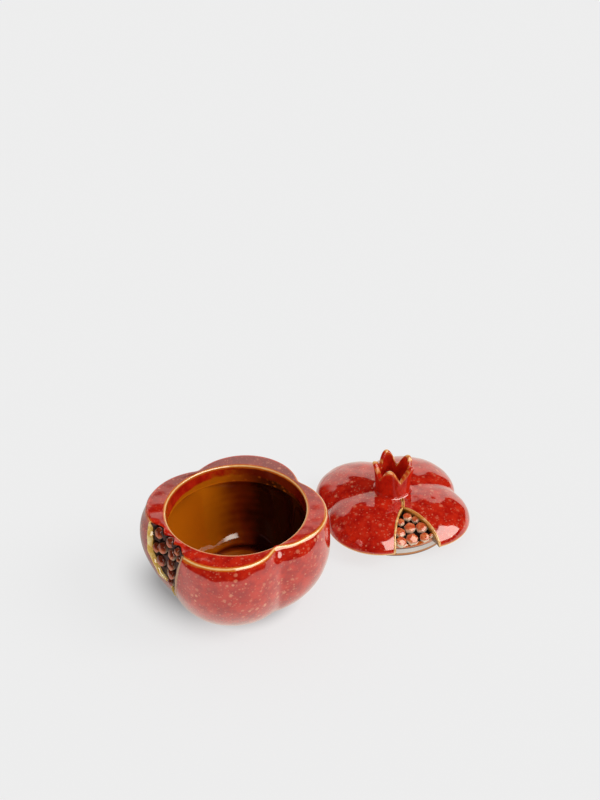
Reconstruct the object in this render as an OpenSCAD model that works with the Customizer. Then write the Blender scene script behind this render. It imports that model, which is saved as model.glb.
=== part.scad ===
// Stoneware jam pot in the form of a split pomegranate: a four-lobed pot with a flat rim and a
// round mouth, and a lobed lid with a calyx crown for a knob, set down beside the pot on its ring.
// Both are split along one crease, where glazed seeds show in a dark bed between two rind lips.
// Millimetres, Z up. The origin is the middle of the pot's foot, on the table.

/* [Rim and mouth] */
// Radius of the round mouth
mouth_r = 38.5; // [34:0.5:44]
// Width of the flat rim at a crease
rim_crease_w = 3; // [2.75:0.25:4.5]
// Width of the flat rim at the middle of a lobe
rim_lobe_w = 11.5; // [9:0.5:13]
// Depth of the straight collar under the mouth
collar_h = 11; // [10:0.5:14]
// Softness of the creases in plan
crease_soft = 0.8; // [0.5:0.1:1.2]
// Rounding of the rim's outer edge
rim_round = 1.2; // [0.6:0.1:1.6]
// Rounding of the mouth's edge
mouth_round = 1; // [0.5:0.1:1.4]

/* [Pot body] */
// Height of the rim above the table
pot_h = 57; // [52:1:66]
// Height of the widest part of the belly
belly_z = 35; // [30:1:38]
// How far the belly swells past the rim
belly_swell = 2; // [0.5:0.25:3]
// Reach of a lobe where the body meets the foot
foot_reach = 28; // [26:0.5:34]
// Height of the turned foot ring
foot_h = 2; // [1:0.25:3]
// Width of the foot ring
foot_w = 4; // [2.5:0.5:5]
// Step from the body's creases in to the foot ring
foot_inset = 1.5; // [1:0.25:3]
// Thickness of the floor above the foot
floor_t = 4; // [3:0.5:6]
// How far the inside widens past the mouth, behind a lobe
undercut = 5.5; // [3:0.5:6.5]
// How far the inside stands in from the mouth, behind a crease
ledge_w = 0.8; // [0.5:0.1:1.5]

/* [Split] */
// Turn of the tip of the pot's split from its crease
split_lean = 11; // [9:0.5:12]
// Angle that the pot's split opens to, left of its tip
split_left = 29; // [28:0.5:31]
// Angle that the pot's split opens to, right of its tip
split_right = 11; // [10.5:0.5:13]
// Height of the tip of the pot's split above the table
split_tip_z = 22.5; // [18:0.5:23]
// Depth of the pot's seed bed under the lobes
bed_inset = 3; // [2.5:0.1:3.5]
// Thickness of the slip bed that holds the seeds
bed_t = 0.8; // [0.6:0.1:1]
// Width of the thick, wavy rind lip on the left of the pot's split
thick_lip_w = 2.2; // [1.8:0.1:2.4]
// How far the thick lip stands proud of the glaze
thick_lip_proud = 1.4; // [0.8:0.1:1.8]
// Swing of the thick lip to each side
lip_wave = 0.6; // [0:0.1:0.8]
// Width of the thin rind lips
lip_w = 1.4; // [1.2:0.1:1.6]
// How far the thin lips stand proud of the glaze
lip_proud = 0.6; // [0.4:0.1:1]

/* [Seeds] */
// Width of the largest seed
seed_w = 6.8; // [5.5:0.1:6.8]
// Height of a seed above its bed
seed_h = 3.2; // [2.4:0.1:3.6]

/* [Lid] */
// Height of the lobes above the lid's edge
dome_h = 14; // [11:0.5:18]
// Height of the locating ring, the lid's edge above the table
ring_h = 9; // [7:0.5:9.5]
// Wall of the locating ring
ring_w = 3.5; // [2.5:0.25:4.5]
// Gap between the locating ring and the mouth, on the radius
lid_clearance = 0.5; // [0.3:0.1:1]
// Rise of the hollow under the lid
hollow_h = 7.5; // [5:0.5:8]
// Rounding of the lid's lower edge
lid_round = 0.6; // [0.4:0.1:0.9]
// Softness of the creases over the dome
dome_soft = 0.5; // [0.3:0.1:0.8]
// Depth of the lid's seed bed under the dome
lid_bed_inset = 4.5; // [4:0.1:5]
// Turn of the lid's split from its crease
split_shift = 2.5; // [0:0.5:4]
// Half of the angle that the lid's split opens to
lid_split_half = 17; // [16.5:0.5:18]
// Reach of the lid's seed bed past the locating ring
bed_reach = 2.75; // [1:0.25:3]

/* [Crown] */
// Height of the crown from its seat to the sepal tips
crown_h = 23.5; // [18:0.5:28]
// Radius of the crown at its seat
crown_r = 11; // [9.5:0.25:11.5]
// Radius that the sepal tips flare to
crown_tip_r = 13; // [11:0.25:15]
// Radius that draws the crown in at its waist
crown_waist_r = 10; // [8.5:0.1:11]
// Wall of the crown
crown_w = 2.6; // [1.8:0.1:3]
// Thickness of the floor inside the crown
crown_floor_t = 3; // [2:0.25:5]
// How far the crown is let into the lid
crown_sink = 0.5; // [0.2:0.1:0.8]

/* [Where the lid lies] */
// Place of the lid beside the pot
lid_x = 92; // [92:1:130]
// Place of the lid behind the pot
lid_y = 62; // [62:1:100]
// Turn of the lid from its closed place
lid_turn = 68; // [0:1:360]

/* [Hidden] */
// Counts of lobes and sepals, and of steps around a piece
lobe_count = 4;
sepal_count = 5;
lobe_steps = 18;
crown_steps = 60;
seed_sides = 8;
// Angle of the crease that splits, and of the first sepal
split_crease = 215;
sepal_turn = 253 - lid_turn;
// Small gap of slip between pieces of one body, and the overrun of every cut
slip_gap = 0.1;
overrun = 1;
// Small steps that feel for the slope of a bed
probe_turn = 1;
probe_step = 0.5;
// Waves along the thick lip
lip_wave_count = 2.5;
// Wall of the neck that the collar is bored from
neck_w = 2;
// Drop from the collar to the widest part of the inside
vault_h = 9;
// Rise of the vault's roof above the foot of the collar
vault_rise = 1.5;
// Softness of the valley that the seeds lie in, on the pot and on the lid
bed_soft = 4;
lid_bed_soft = 2;
// Half width of the split at its tip, and of its neck on the lid
tip_half_w = 0.9;
// Radius where the lid's split starts to open, and where its bed is at full depth
split_open_r = 18;
split_deep_r = 24;
// Bridge of clay between the crown's seat and the lid's split
seat_bridge = 1;
// Shares that shape the lobes, the cavity, the splits and the crown
lobe_gather_share = 0.6;
foot_lobing_share = 0.57;
floor_share = 0.55;
split_curve_share = 0.38;
bed_end_share = 0.97;
lid_split_curve_share = 0.55;
lip_crown_shares = [0.3, 0.85, 1, 0.7, 0.2];
valley_share = 0.58;
sepal_point_share = 0.65;
crown_edge_share = 0.35;
ring_edge_share = 0.25;
seed_sink_share = 0.2;
// Seeds of the pot: share of the way down the split, share of the way across it, share of the largest size
pot_seed_shares = [
    [0.13, 0.19, 0.93], [0.11, 0.55, 0.92], [0.11, 0.82, 0.65], [0.39, 0.15, 0.84],
    [0.3, 0.34, 0.98], [0.235, 0.69, 0.86], [0.19, 0.91, 0.5], [0.58, 0.24, 0.95],
    [0.44, 0.69, 0.93], [0.62, 0.7, 0.95], [0.86, 0.48, 0.74]
];
// Seeds of the lid: share of the way out, share across the split's half width, share of the largest size
lid_seed_shares = [
    [0.275, 0.15, 0.75], [0.415, -0.62, 0.66], [0.42, 0.67, 0.62], [0.605, -0.04, 0.94],
    [0.69, 0.63, 0.94], [0.71, -0.7, 0.87], [0.865, -0.1, 0.97], [0.93, 0.53, 0.78],
    [0.935, -0.68, 0.9], [0.96, 0.86, 0.36]
];
// Seed profile: share of the half width, share of the height
seed_shares = [[0.86, 0], [1, 0.3], [0.94, 0.62], [0.62, 0.94]];

// Plan of the lobes, from the mouth and the two widths of the rim
half_pitch = 180 / lobe_count;
rim_reach = mouth_r + rim_lobe_w;
rim_notch = mouth_r + rim_crease_w;
lobe_offset = (pow(rim_reach, 2) - pow(rim_notch, 2)) / (2 * (rim_reach - rim_notch * cos(half_pitch)));
lobe_r = rim_reach - lobe_offset;
mean_r = (rim_reach + rim_notch) / 2;
belly_share = (rim_reach + belly_swell) / rim_reach;
foot_share = foot_reach / rim_reach;
split_turn = split_crease + split_shift;
tip_turn = split_crease + split_lean;
collar_z = pot_h - collar_h;
vault_z = collar_z - vault_h;
floor_z = foot_h + floor_t;
neck_r = mouth_r - neck_w;
// Lid values that follow the pot's mouth
ring_r = mouth_r - lid_clearance;
ring_inner_r = ring_r - ring_w;
bed_end_r = ring_r + bed_reach;
crown_gap_r = crown_r + 2 * slip_gap;
split_start_r = crown_gap_r + seat_bridge;
seat_z = ring_h + dome(0, 0, dome_soft) - crown_sink;

pot_seed_count = len(pot_seed_shares);
lid_seed_count = len(lid_seed_shares);
function seed_name(owner, i) = str(owner, "_seed_", i < 9 ? "0" : "", i + 1);

// Small helpers
function smooth(s) = s * s * (3 - 2 * s);
function total(values) = [for (v = values) 1] * values;
function soft_max(values, soft) =
    let (top = max(values))
    top + soft * ln(total([for (v = values) exp((v - top) / soft)]));
function polar(turn, r, z) = [r * cos(turn), r * sin(turn), z];
function unit(v) = v / norm(v);
function reversed(list) = [for (i = [len(list) - 1 : -1 : 0]) list[i]];
function arc_angle(length, r) = length / r * 180 / PI;

// Steps around the lobes, gathered towards the creases
lobe_turns = [
    for (lobe = [0 : lobe_count - 1], i = [0 : lobe_steps - 1])
        let (s = 2 * i / lobe_steps - 1)
        split_crease + half_pitch * (2 * lobe + 1 + s + lobe_gather_share * sin(180 * s) / PI)
];

// Plan radius of the rim at a turn: four circles that run into each other
function lobe_reach(turn) =
    lobe_offset * cos(turn) + sqrt(pow(lobe_r, 2) - pow(lobe_offset * sin(turn), 2));
function lobe_turn(i) = split_crease + half_pitch * (2 * i + 1);
function rim_plan(turn, soft) =
    soft_max([for (i = [0 : lobe_count - 1]) lobe_reach(turn - lobe_turn(i))], soft);

// Body of the pot: the rim's plan, drawn in to the foot and swollen at the belly
function swell(z) = z < belly_z
    ? foot_share + (belly_share - foot_share) * sqrt(1 - pow((belly_z - z) / (belly_z - foot_h), 2))
    : 1 + (belly_share - 1) * cos(90 * (z - belly_z) / (pot_h - belly_z));
function lobing(z) = foot_lobing_share + (1 - foot_lobing_share) * smooth(min(1, z / belly_z));
function body_r(turn, z, soft) =
    swell(z) * (mean_r + (rim_plan(turn, soft) - mean_r) * lobing(z));
function bed_r(turn, z) = body_r(turn, z, bed_soft) - bed_inset;

// Plan radius of the inside, which follows the lobes less
function inside_r(turn) =
    let (share = (rim_plan(turn, crease_soft) - rim_notch) / rim_lobe_w)
    mouth_r - ledge_w + (undercut + ledge_w) * share;

// Height of the lid above its edge: four low domes that run into each other
function dome(x, y, soft) = soft_max([
    for (i = [0 : lobe_count - 1])
        let (away = pow(x - lobe_offset * cos(lobe_turn(i)), 2)
            + pow(y - lobe_offset * sin(lobe_turn(i)), 2))
        dome_h * sqrt(max(0, 1 - away / pow(lobe_r, 2)))
], soft);
function dome_point(turn, r) =
    [r * cos(turn), r * sin(turn), ring_h + dome(r * cos(turn), r * sin(turn), dome_soft)];
// The lid's bed lies in a softer valley, and runs out level with the dome at the crown
function lid_bed_depth(r) =
    let (share = min(1, max(0, (r - split_start_r) / (split_deep_r - split_start_r))))
    bed_t + (lid_bed_inset - bed_t) * smooth(share);
function lid_bed_z(turn, r) = max(
    ring_h + bed_t + lid_round,
    ring_h + dome(r * cos(turn), r * sin(turn), lid_bed_soft) - lid_bed_depth(r));

// A closed form through a stack of rings, with a point at each end
module loft(rings, low, high) {
    n = len(rings[0]);
    last = len(rings) - 1;
    end = 1 + n * len(rings);
    function at(i, j) = 1 + i * n + j % n;
    polyhedron(
        points = concat([low], [for (ring = rings) each ring], [high]),
        faces = concat(
            [for (j = [0 : n - 1]) [0, at(0, j), at(0, j + 1)]],
            [for (i = [0 : last - 1], j = [0 : n - 1]) [at(i, j), at(i + 1, j), at(i + 1, j + 1)]],
            [for (i = [0 : last - 1], j = [0 : n - 1]) [at(i, j), at(i + 1, j + 1), at(i, j + 1)]],
            [for (j = [0 : n - 1]) [end, at(last, j + 1), at(last, j)]]
        )
    );
}

// A closed slab between a lower and an upper sheet, each a list of rows of points
module slab(low, high) {
    n = len(low[0]);
    last = len(low) - 1;
    loop = 2 * n;
    function at(i, j) = i * loop + j % loop;
    polyhedron(
        points = [for (i = [0 : last]) each concat(high[i], reversed(low[i]))],
        faces = concat(
            [for (i = [0 : last - 1], j = [0 : loop - 1]) [at(i, j), at(i, j + 1), at(i + 1, j + 1)]],
            [for (i = [0 : last - 1], j = [0 : loop - 1]) [at(i, j), at(i + 1, j + 1), at(i + 1, j)]],
            [for (j = [0 : n - 2]) [at(0, j), at(0, loop - 1 - j), at(0, loop - 2 - j)]],
            [for (j = [0 : n - 2]) [at(0, j), at(0, loop - 2 - j), at(0, j + 1)]],
            [for (j = [0 : n - 2]) [at(last, j), at(last, loop - 2 - j), at(last, loop - 1 - j)]],
            [for (j = [0 : n - 2]) [at(last, j), at(last, j + 1), at(last, loop - 2 - j)]]
        )
    );
}

// Outline of the pot's split: down from over the rim to the tip
split_rows = 12;
split_cols = 10;
function split_z(down) = pot_h + overrun - down * (pot_h + overrun - split_tip_z);
// The left side bows out and carries the wavy lip, the right side runs straight down to the tip
function split_open(down, side) = arc_angle(tip_half_w, rim_notch) + (side < 0
    ? split_left * pow(max(0, 1 - down * down), split_curve_share)
        + arc_angle(lip_wave * sin(360 * lip_wave_count * down) * smooth(1 - down), rim_notch)
    : split_right * (1 - down));
function split_edge(down, side) = tip_turn + side * split_open(down, side);
function pot_lip_w(side) = side < 0 ? thick_lip_w : lip_w;
split_downs = [for (i = [0 : split_rows]) sin(90 * i / split_rows)];

// Rows of points across the pot's split, inside its lips or out to its sides
function pot_sheet(downs, gap, inside, extra, height) = [
    for (down = downs)
        let (z = split_z(down),
            left = split_edge(down, -1) + inside * arc_angle(pot_lip_w(-1) + gap, rim_notch),
            right = split_edge(down, 1) - inside * arc_angle(pot_lip_w(1) + gap, rim_notch))
        [for (j = [0 : split_cols])
            let (turn = left + (right - left) * j / split_cols)
            polar(turn, (height == "body" ? body_r(turn, z, crease_soft) : bed_r(turn, z)) + extra, z)]
];

module above_rim() {
    translate([0, 0, pot_h]) cylinder(r = 2 * rim_reach, h = 2 * overrun);
}

module pot_split_cut() {
    slab(
        pot_sheet(split_downs, 0, 0, -bed_t, "bed"),
        pot_sheet(split_downs, 0, 0, rim_lobe_w, "body"));
}

// Rows around the pot: outside from the foot up, over the rim, and down the inside to the floor
low_steps = 7;
high_steps = 4;
round_steps = 3;
vault_steps = 4;
bowl_steps = 6;
function body_ring(z, inset) = [
    for (turn = lobe_turns)
        polar(turn, body_r(turn, z, crease_soft) - inset, z)
];
function neck_ring(z) = [for (turn = lobe_turns) polar(turn, neck_r, z)];
function inside_ring(neck_share, width_share, z) = [
    for (turn = lobe_turns)
        polar(turn, neck_r * neck_share + inside_r(turn) * (width_share - neck_share), z)
];
pot_rings = concat(
    [for (i = [0 : low_steps]) body_ring(belly_z - (belly_z - foot_h) * cos(90 * i / low_steps), 0)],
    [for (i = [1 : high_steps]) body_ring(belly_z + (pot_h - rim_round - belly_z) * i / high_steps, 0)],
    [for (i = [1 : round_steps]) body_ring(
        pot_h - rim_round * (1 - sin(90 * i / round_steps)), rim_round * (1 - cos(90 * i / round_steps)))],
    [neck_ring(pot_h)],
    [for (i = [0 : vault_steps]) inside_ring(
        1 - sin(90 * i / vault_steps), 1, vault_z + (vault_h + vault_rise) * cos(90 * i / vault_steps))],
    [for (i = [1 : bowl_steps]) inside_ring(
        0, floor_share + (1 - floor_share) * cos(90 * i / bowl_steps),
        vault_z - (vault_z - floor_z) * sin(90 * i / bowl_steps))]
);

// Straight collar with a rounded edge at the mouth
module collar_cut() {
    rotate_extrude() difference() {
        union() {
            translate([0, collar_z]) square([mouth_r, collar_h + overrun]);
            translate([0, pot_h - mouth_round]) square([mouth_r + mouth_round, mouth_round + overrun]);
        }
        translate([mouth_r + mouth_round, pot_h - mouth_round]) circle(r = mouth_round);
    }
}

// Turned foot ring inside the lobes' outline
foot_outer_r = foot_share * (mean_r + (rim_notch - mean_r) * foot_lobing_share) - foot_inset;
module foot_ring() {
    rotate_extrude() translate([foot_outer_r - foot_w, 0]) square([foot_w, foot_h + overrun]);
}

module pot_shell() {
    color("#8f1a12") {
        difference() {
            loft(pot_rings, [0, 0, foot_h], [0, 0, floor_z]);
            collar_cut();
            pot_split_cut();
        }
        foot_ring();
    }
}

// Dark slip that lines the split and carries the seeds
bed_downs = bed_end_share * split_downs;
module pot_split_bed() {
    color("#2b2623") difference() {
        slab(
            pot_sheet(bed_downs, slip_gap, 1, slip_gap - bed_t, "bed"),
            pot_sheet(bed_downs, slip_gap, 1, 0, "bed"));
        above_rim();
    }
}

// One rind lip, a rounded bead along one side of the pot's split
lip_last = len(lip_crown_shares) - 1;
function lip_share(side, j) = side < 0 ? j / lip_last : 1 - j / lip_last;
function lip_crown(side, j) = lip_crown_shares[side < 0 ? j : lip_last - j];
module pot_lip(side) {
    proud = side < 0 ? thick_lip_proud : lip_proud;
    function lip_turn(down, j) =
        let (outer = split_open(down, side) - arc_angle(slip_gap, rim_notch),
            inner = split_open(down, side) - arc_angle(pot_lip_w(side), rim_notch),
            reach = max(inner, arc_angle(slip_gap, rim_notch)))
        tip_turn + side * (outer + (reach - outer) * lip_share(side, j));
    color("#b08a34") difference() {
        slab(
            [for (down = split_downs) [for (j = [0 : lip_last])
                let (turn = lip_turn(down, j), z = split_z(down))
                polar(turn, bed_r(turn, z) - bed_t + slip_gap, z)]],
            [for (down = split_downs) [for (j = [0 : lip_last])
                let (turn = lip_turn(down, j), z = split_z(down))
                polar(turn, body_r(turn, z, crease_soft) + proud * lip_crown(side, j), z)]]);
        above_rim();
    }
}

// A facetted seed, sunk a little into a bed along the bed's own normal
module seed(foot, across, up, size_share) {
    e1 = unit(across);
    n = unit(cross(across, up));
    e2 = cross(n, e1);
    height = seed_h * (1 + size_share) / 2;
    reach = seed_w * size_share / 2;
    base = foot - n * height * seed_sink_share;
    rise = height * (1 + seed_sink_share);
    function ring(share) = [
        for (k = [0 : seed_sides - 1])
            let (turn = 360 * (k + 1 / 2) / seed_sides)
            base + n * rise * share[1] + (e1 * cos(turn) + e2 * sin(turn)) * reach * share[0]
    ];
    loft([for (share = seed_shares) ring(share)], base, base + n * rise);
}

// Each seed ends a thin layer of slip short of its bed and of the lips
module pot_seed(i) {
    down = pot_seed_shares[i][0];
    left = split_edge(down, -1);
    turn = left + pot_seed_shares[i][1] * (split_edge(down, 1) - left);
    z = split_z(down);
    near = [for (d = bed_downs) if (abs(split_z(d) - z) < 2 * seed_w) d];
    function on_bed(t, h) = polar(t, bed_r(t, h), h);
    color("#c2452a") difference() {
        intersection() {
            seed(on_bed(turn, z),
                on_bed(turn + probe_turn, z) - on_bed(turn - probe_turn, z),
                on_bed(turn, z + probe_step) - on_bed(turn, z - probe_step),
                pot_seed_shares[i][2]);
            slab(
                pot_sheet(near, 2 * slip_gap, 1, slip_gap, "bed"),
                pot_sheet(near, 2 * slip_gap, 1, 2 * seed_h, "bed"));
        }
        above_rim();
    }
}

// Lid, modelled about its own axis with its ring on the table, then set down in its place
module at_lid() {
    translate([lid_x, lid_y, 0]) rotate(lid_turn) children();
}

// Rows around the lid: the hollow from its top out, the flat edge, and the dome in to the seat
dome_steps = 9;
hollow_steps = 4;
function lid_reach(turn) = rim_plan(turn, crease_soft);
function dome_ring(share) = [
    for (turn = lobe_turns)
        dome_point(turn, crown_gap_r + (lid_reach(turn) - crown_gap_r) * share)
];
lid_rings = concat(
    [for (i = [1 : hollow_steps])
        let (angle = 90 * i / hollow_steps)
        [for (turn = lobe_turns)
            polar(turn, ring_inner_r * sin(angle), ring_h + hollow_h * cos(angle))]],
    [[for (turn = lobe_turns) polar(turn, lid_reach(turn) - lid_round, ring_h)]],
    [[for (turn = lobe_turns) polar(turn, lid_reach(turn), ring_h + lid_round)]],
    [for (i = [1 : dome_steps]) dome_ring(cos(90 * i / dome_steps))],
    [[for (turn = lobe_turns) polar(turn, crown_gap_r, seat_z)]]
);

// Outline of the lid's split: out from the crown to past the edge
function lid_split_open(r) =
    let (away = min(1, max(0, (rim_notch - r) / (rim_notch - split_open_r))))
    arc_angle(tip_half_w, r) + lid_split_half * pow(1 - away * away, lid_split_curve_share);
function steps_out(start, end, count) = [for (i = [0 : count]) start + (end - start) * i / count];
lid_split_rs = steps_out(split_start_r, bed_end_r, split_rows);

// Rows of points across the lid's split, less a margin at each side
function lid_sheet(rs, margin, extra) = [
    for (r = rs)
        let (open = lid_split_open(r) - arc_angle(margin, r))
        [for (j = [0 : split_cols])
            let (turn = split_turn + open * (2 * j / split_cols - 1))
            polar(turn, r, lid_bed_z(turn, r) + extra)]
];
// A row of the cut past the bed's end, at one height
function lid_past_row(r, z) = [
    for (j = [0 : split_cols])
        polar(split_turn + lid_split_open(r) * (2 * j / split_cols - 1), r, z)
];
past_steps = 4;
past_rs = steps_out(bed_end_r + lid_round, rim_reach + overrun, past_steps);
lid_cut_top = ring_h + dome_h + 2 * overrun;

module lid_split_cut() {
    slab(
        concat(
            lid_sheet(lid_split_rs, 0, -bed_t),
            [for (r = past_rs) lid_past_row(r, ring_h - overrun)]),
        concat(
            [for (r = lid_split_rs) lid_past_row(r, lid_cut_top)],
            [for (r = past_rs) lid_past_row(r, lid_cut_top)]));
}

module lid_shell() {
    color("#8f1a12") at_lid() difference() {
        loft(lid_rings, [0, 0, ring_h + hollow_h], [0, 0, seat_z]);
        lid_split_cut();
    }
}

// Locating ring that drops into the mouth when the pot is closed
module lid_ring() {
    edge = ring_w * ring_edge_share;
    color("#a3371c") at_lid() rotate_extrude() {
        translate([ring_inner_r, edge]) square([ring_w, ring_h - edge]);
        translate([ring_inner_r + edge, 0]) square([ring_w - 2 * edge, edge]);
        translate([ring_inner_r + edge, edge]) circle(r = edge);
        translate([ring_r - edge, edge]) circle(r = edge);
    }
}

lid_bed_rs = steps_out(split_open_r + lip_w, bed_end_r, split_rows);
module lid_split_bed() {
    color("#2b2623") at_lid() slab(
        lid_sheet(lid_bed_rs, lip_w + slip_gap, slip_gap - bed_t),
        lid_sheet(lid_bed_rs, lip_w + slip_gap, 0));
}

// One rind lip along one side of the lid's split, out to the lid's edge
module lid_lip(side) {
    end_r = rim_plan(split_turn + side * lid_split_open(rim_notch), crease_soft) - lid_round;
    rs = concat(
        steps_out(split_start_r + slip_gap, bed_end_r, split_rows),
        steps_out(bed_end_r + lid_round, end_r, past_steps));
    function lip_turn(r, j) =
        let (outer = lid_split_open(r) - arc_angle(slip_gap, r),
            inner = max(lid_split_open(r) - arc_angle(lip_w, r), arc_angle(slip_gap, r)))
        split_turn + side * (outer + (inner - outer) * lip_share(side, j));
    function lip_foot(turn, r) =
        r > bed_end_r ? ring_h : lid_bed_z(turn, r) - bed_t + slip_gap;
    color("#b08a34") at_lid() slab(
        [for (r = rs) [for (j = [0 : lip_last])
            let (turn = lip_turn(r, j)) polar(turn, r, lip_foot(turn, r))]],
        [for (r = rs) [for (j = [0 : lip_last])
            let (turn = lip_turn(r, j)) dome_point(turn, r) + [0, 0, lip_proud * lip_crown(side, j)]]]);
}

module lid_seed(i) {
    r = split_open_r + lid_seed_shares[i][0] * (bed_end_r - split_open_r);
    turn = split_turn + lid_seed_shares[i][1] * lid_split_open(r);
    near = [for (d = concat(lid_bed_rs, [bed_end_r + overrun])) if (abs(d - r) < 2 * seed_w) d];
    function on_bed(t, d) = polar(t, d, lid_bed_z(t, d));
    color("#c2452a") at_lid() intersection() {
        seed(on_bed(turn, r),
            on_bed(turn + probe_turn, r) - on_bed(turn - probe_turn, r),
            on_bed(turn, r - probe_step) - on_bed(turn, r + probe_step),
            lid_seed_shares[i][2]);
        slab(
            lid_sheet(near, lip_w + 2 * slip_gap, slip_gap),
            lid_sheet(near, lip_w + 2 * slip_gap, 2 * seed_h));
    }
}

// Calyx crown: a waisted tube that opens into pointed sepals
outer_steps = 6;
inner_steps = 4;
crown_turns = [for (i = [0 : crown_steps - 1]) 360 * i / crown_steps];
function crown_out_r(z) =
    let (s = z / crown_h)
    crown_r * pow(1 - s, 2) + 2 * crown_waist_r * s * (1 - s) + crown_tip_r * s * s;
function crown_wall(z) = crown_w * (1 - crown_edge_share * z / crown_h);
function sepal_top(turn) =
    let (point = pow((1 + cos(sepal_count * (turn - sepal_turn))) / 2, sepal_point_share))
    crown_h * (valley_share + (1 - valley_share) * point);
function crown_point(turn, z, inset_share) =
    polar(turn, crown_out_r(z) - inset_share * crown_wall(z), seat_z + z);
crown_rings = concat(
    [for (i = [0 : outer_steps]) [for (turn = crown_turns)
        crown_point(turn, slip_gap + (sepal_top(turn) - crown_w / 2 - slip_gap) * i / outer_steps, 0)]],
    [[for (turn = crown_turns) crown_point(turn, sepal_top(turn), 1 / 2)]],
    [for (i = [0 : inner_steps]) [for (turn = crown_turns)
        crown_point(turn, sepal_top(turn) - crown_w / 2
            - (sepal_top(turn) - crown_w / 2 - crown_floor_t) * i / inner_steps, 1)]]
);

module crown() {
    color("#a01c12") at_lid() loft(
        crown_rings, [0, 0, seat_z + slip_gap], [0, 0, seat_z + crown_floor_t]);
}

pot_shell();
pot_split_bed();
pot_lip(-1);  // pot_lip_left
pot_lip(1);  // pot_lip_right
for (i = [0 : pot_seed_count - 1])
    pot_seed(i);
lid_shell();
lid_ring();
lid_split_bed();
lid_lip(-1);  // lid_lip_left
lid_lip(1);  // lid_lip_right
crown();
for (i = [0 : lid_seed_count - 1])
    lid_seed(i);
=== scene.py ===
"""Looks of the jam pot: a split-pomegranate pot and its loose lid in speckled oxblood glaze."""

import logging
import math
import random
from dataclasses import dataclass, field
from enum import Enum
from typing import Any, Callable, Sequence

import bmesh
import bpy
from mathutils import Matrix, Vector, noise

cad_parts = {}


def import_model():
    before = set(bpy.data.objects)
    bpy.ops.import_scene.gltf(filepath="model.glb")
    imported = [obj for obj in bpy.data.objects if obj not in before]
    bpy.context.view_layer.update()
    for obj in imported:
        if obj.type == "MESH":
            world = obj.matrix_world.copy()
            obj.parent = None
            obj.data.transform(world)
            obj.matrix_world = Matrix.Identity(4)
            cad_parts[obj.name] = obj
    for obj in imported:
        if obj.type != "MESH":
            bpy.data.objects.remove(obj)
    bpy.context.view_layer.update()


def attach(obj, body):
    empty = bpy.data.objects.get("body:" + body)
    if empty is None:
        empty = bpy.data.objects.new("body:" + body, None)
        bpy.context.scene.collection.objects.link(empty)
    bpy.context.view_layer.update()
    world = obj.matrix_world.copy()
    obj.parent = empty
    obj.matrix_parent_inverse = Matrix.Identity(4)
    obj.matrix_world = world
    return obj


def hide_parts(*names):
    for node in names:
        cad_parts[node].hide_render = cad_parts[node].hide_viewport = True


LOG = logging.getLogger("jam_pot")
MM = 0.001
HALF_PI = math.pi / 2
MERGE = 1e-4
BLACK = (0.0, 0.0, 0.0, 1.0)
WHITE = (1.0, 1.0, 1.0, 1.0)
# Marks of the turned shells; deep and the darkening mark carry painted shade, and on the front of the pot's rim
# edge and halo also carry a painted highlight
SHELL_MARKS = ("inside", "edge", "halo", "bare", "bubbly", "bare_of_specks", "deep", "dim", "matte")
# How far to the outer side of a lip its dark inner wall may reach
LIP_TURN = 0.43
LIP_MARKS = ("low", "dull", "golden", "warm")
# Marks of the ring: an orange line, a pale band of painted highlight and painted shade at its foot
RING_MARKS = ("low", "wiped", "foot")

Point = tuple[float, float, float]
Colour = tuple[float, float, float, float]
Marks = dict[str, float]
Placed = tuple[Point, Marks]
Form = bmesh.types.BMesh
Socket = bpy.types.NodeSocket


class Body(Enum):
    """The two loose pieces of the object."""

    POT = "pot"
    LID = "lid"


class Slot(Enum):
    """Material slots of the record."""

    RED = "red_glaze"
    AMBER = "amber_glaze"
    LIP = "lip_glaze"
    BED = "bed_slip"
    SEED = "seed_glaze"


class Side(Enum):
    """Sides of a split, seen with its tip down."""

    LEFT = -1
    RIGHT = 1


class Zone(Enum):
    """Parts of the turned forms: the pot's shell, the lid's shell and the crown."""

    FOOT, OUTSIDE, RIM, LAND, MOUTH, COLLAR, LEDGE, VAULT, BOWL, FLOOR = range(10)
    HOLLOW, UNDER, EDGE, DOME, SEAT = range(10, 15)
    BASE, FILLET, OUT, TIP, IN, CUP = range(15, 21)


def smooth(s: float) -> float:
    """Ease a share from 0 to 1, held at both ends."""
    s = min(1.0, max(0.0, s))
    return s * s * (3.0 - 2.0 * s)


@dataclass(frozen=True)
class Fade:
    """An ease from 0 to 1 that starts at a place and ends a width further, which may lie before it."""

    start: float
    width: float

    def __call__(self, x: float) -> float:
        """Share that is reached at a place."""
        return smooth((x - self.start) / self.width)


def soft_max(values: Sequence[float], soft: float) -> float:
    """Largest of several values, blended with those that are less than about soft below it."""
    top = max(values)
    return top + soft * math.log(sum(math.exp((v - top) / soft) for v in values))


def cosd(turn: float) -> float:
    """Cosine of an angle in degrees."""
    return math.cos(math.radians(turn))


def polar(turn: float, r: float, z: float) -> Point:
    """Point at a turn in degrees, a radius and a height."""
    a = math.radians(turn)
    return (r * math.cos(a), r * math.sin(a), z)


def arc_angle(length: float, r: float) -> float:
    """Angle in degrees of an arc length on a radius."""
    return math.degrees(length / r)


def bump(x: float, width: float) -> float:
    """Bell curve of height 1 and a given width."""
    return math.exp(-((x / width) ** 2))


def quarter(count: int, first: int = 1) -> list[float]:
    """Angles in radians that cut a quarter turn into steps."""
    return [HALF_PI * i / count for i in range(first, count + 1)]


def oval(around: float) -> tuple[float, float]:
    """How far aside and how high a turn around a squarish bead lies, each from -1 to 1."""
    c, d = math.cos(math.radians(around)), math.sin(math.radians(around))
    return math.copysign(abs(c) ** 0.8, c), math.copysign(abs(d) ** 0.7, d)


def uneven(co: Point, size: float, depth: float) -> float:
    """Slow unevenness of a hand-made wall at a place, in millimetres."""
    return depth * noise.noise(Vector(co) / size)


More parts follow.
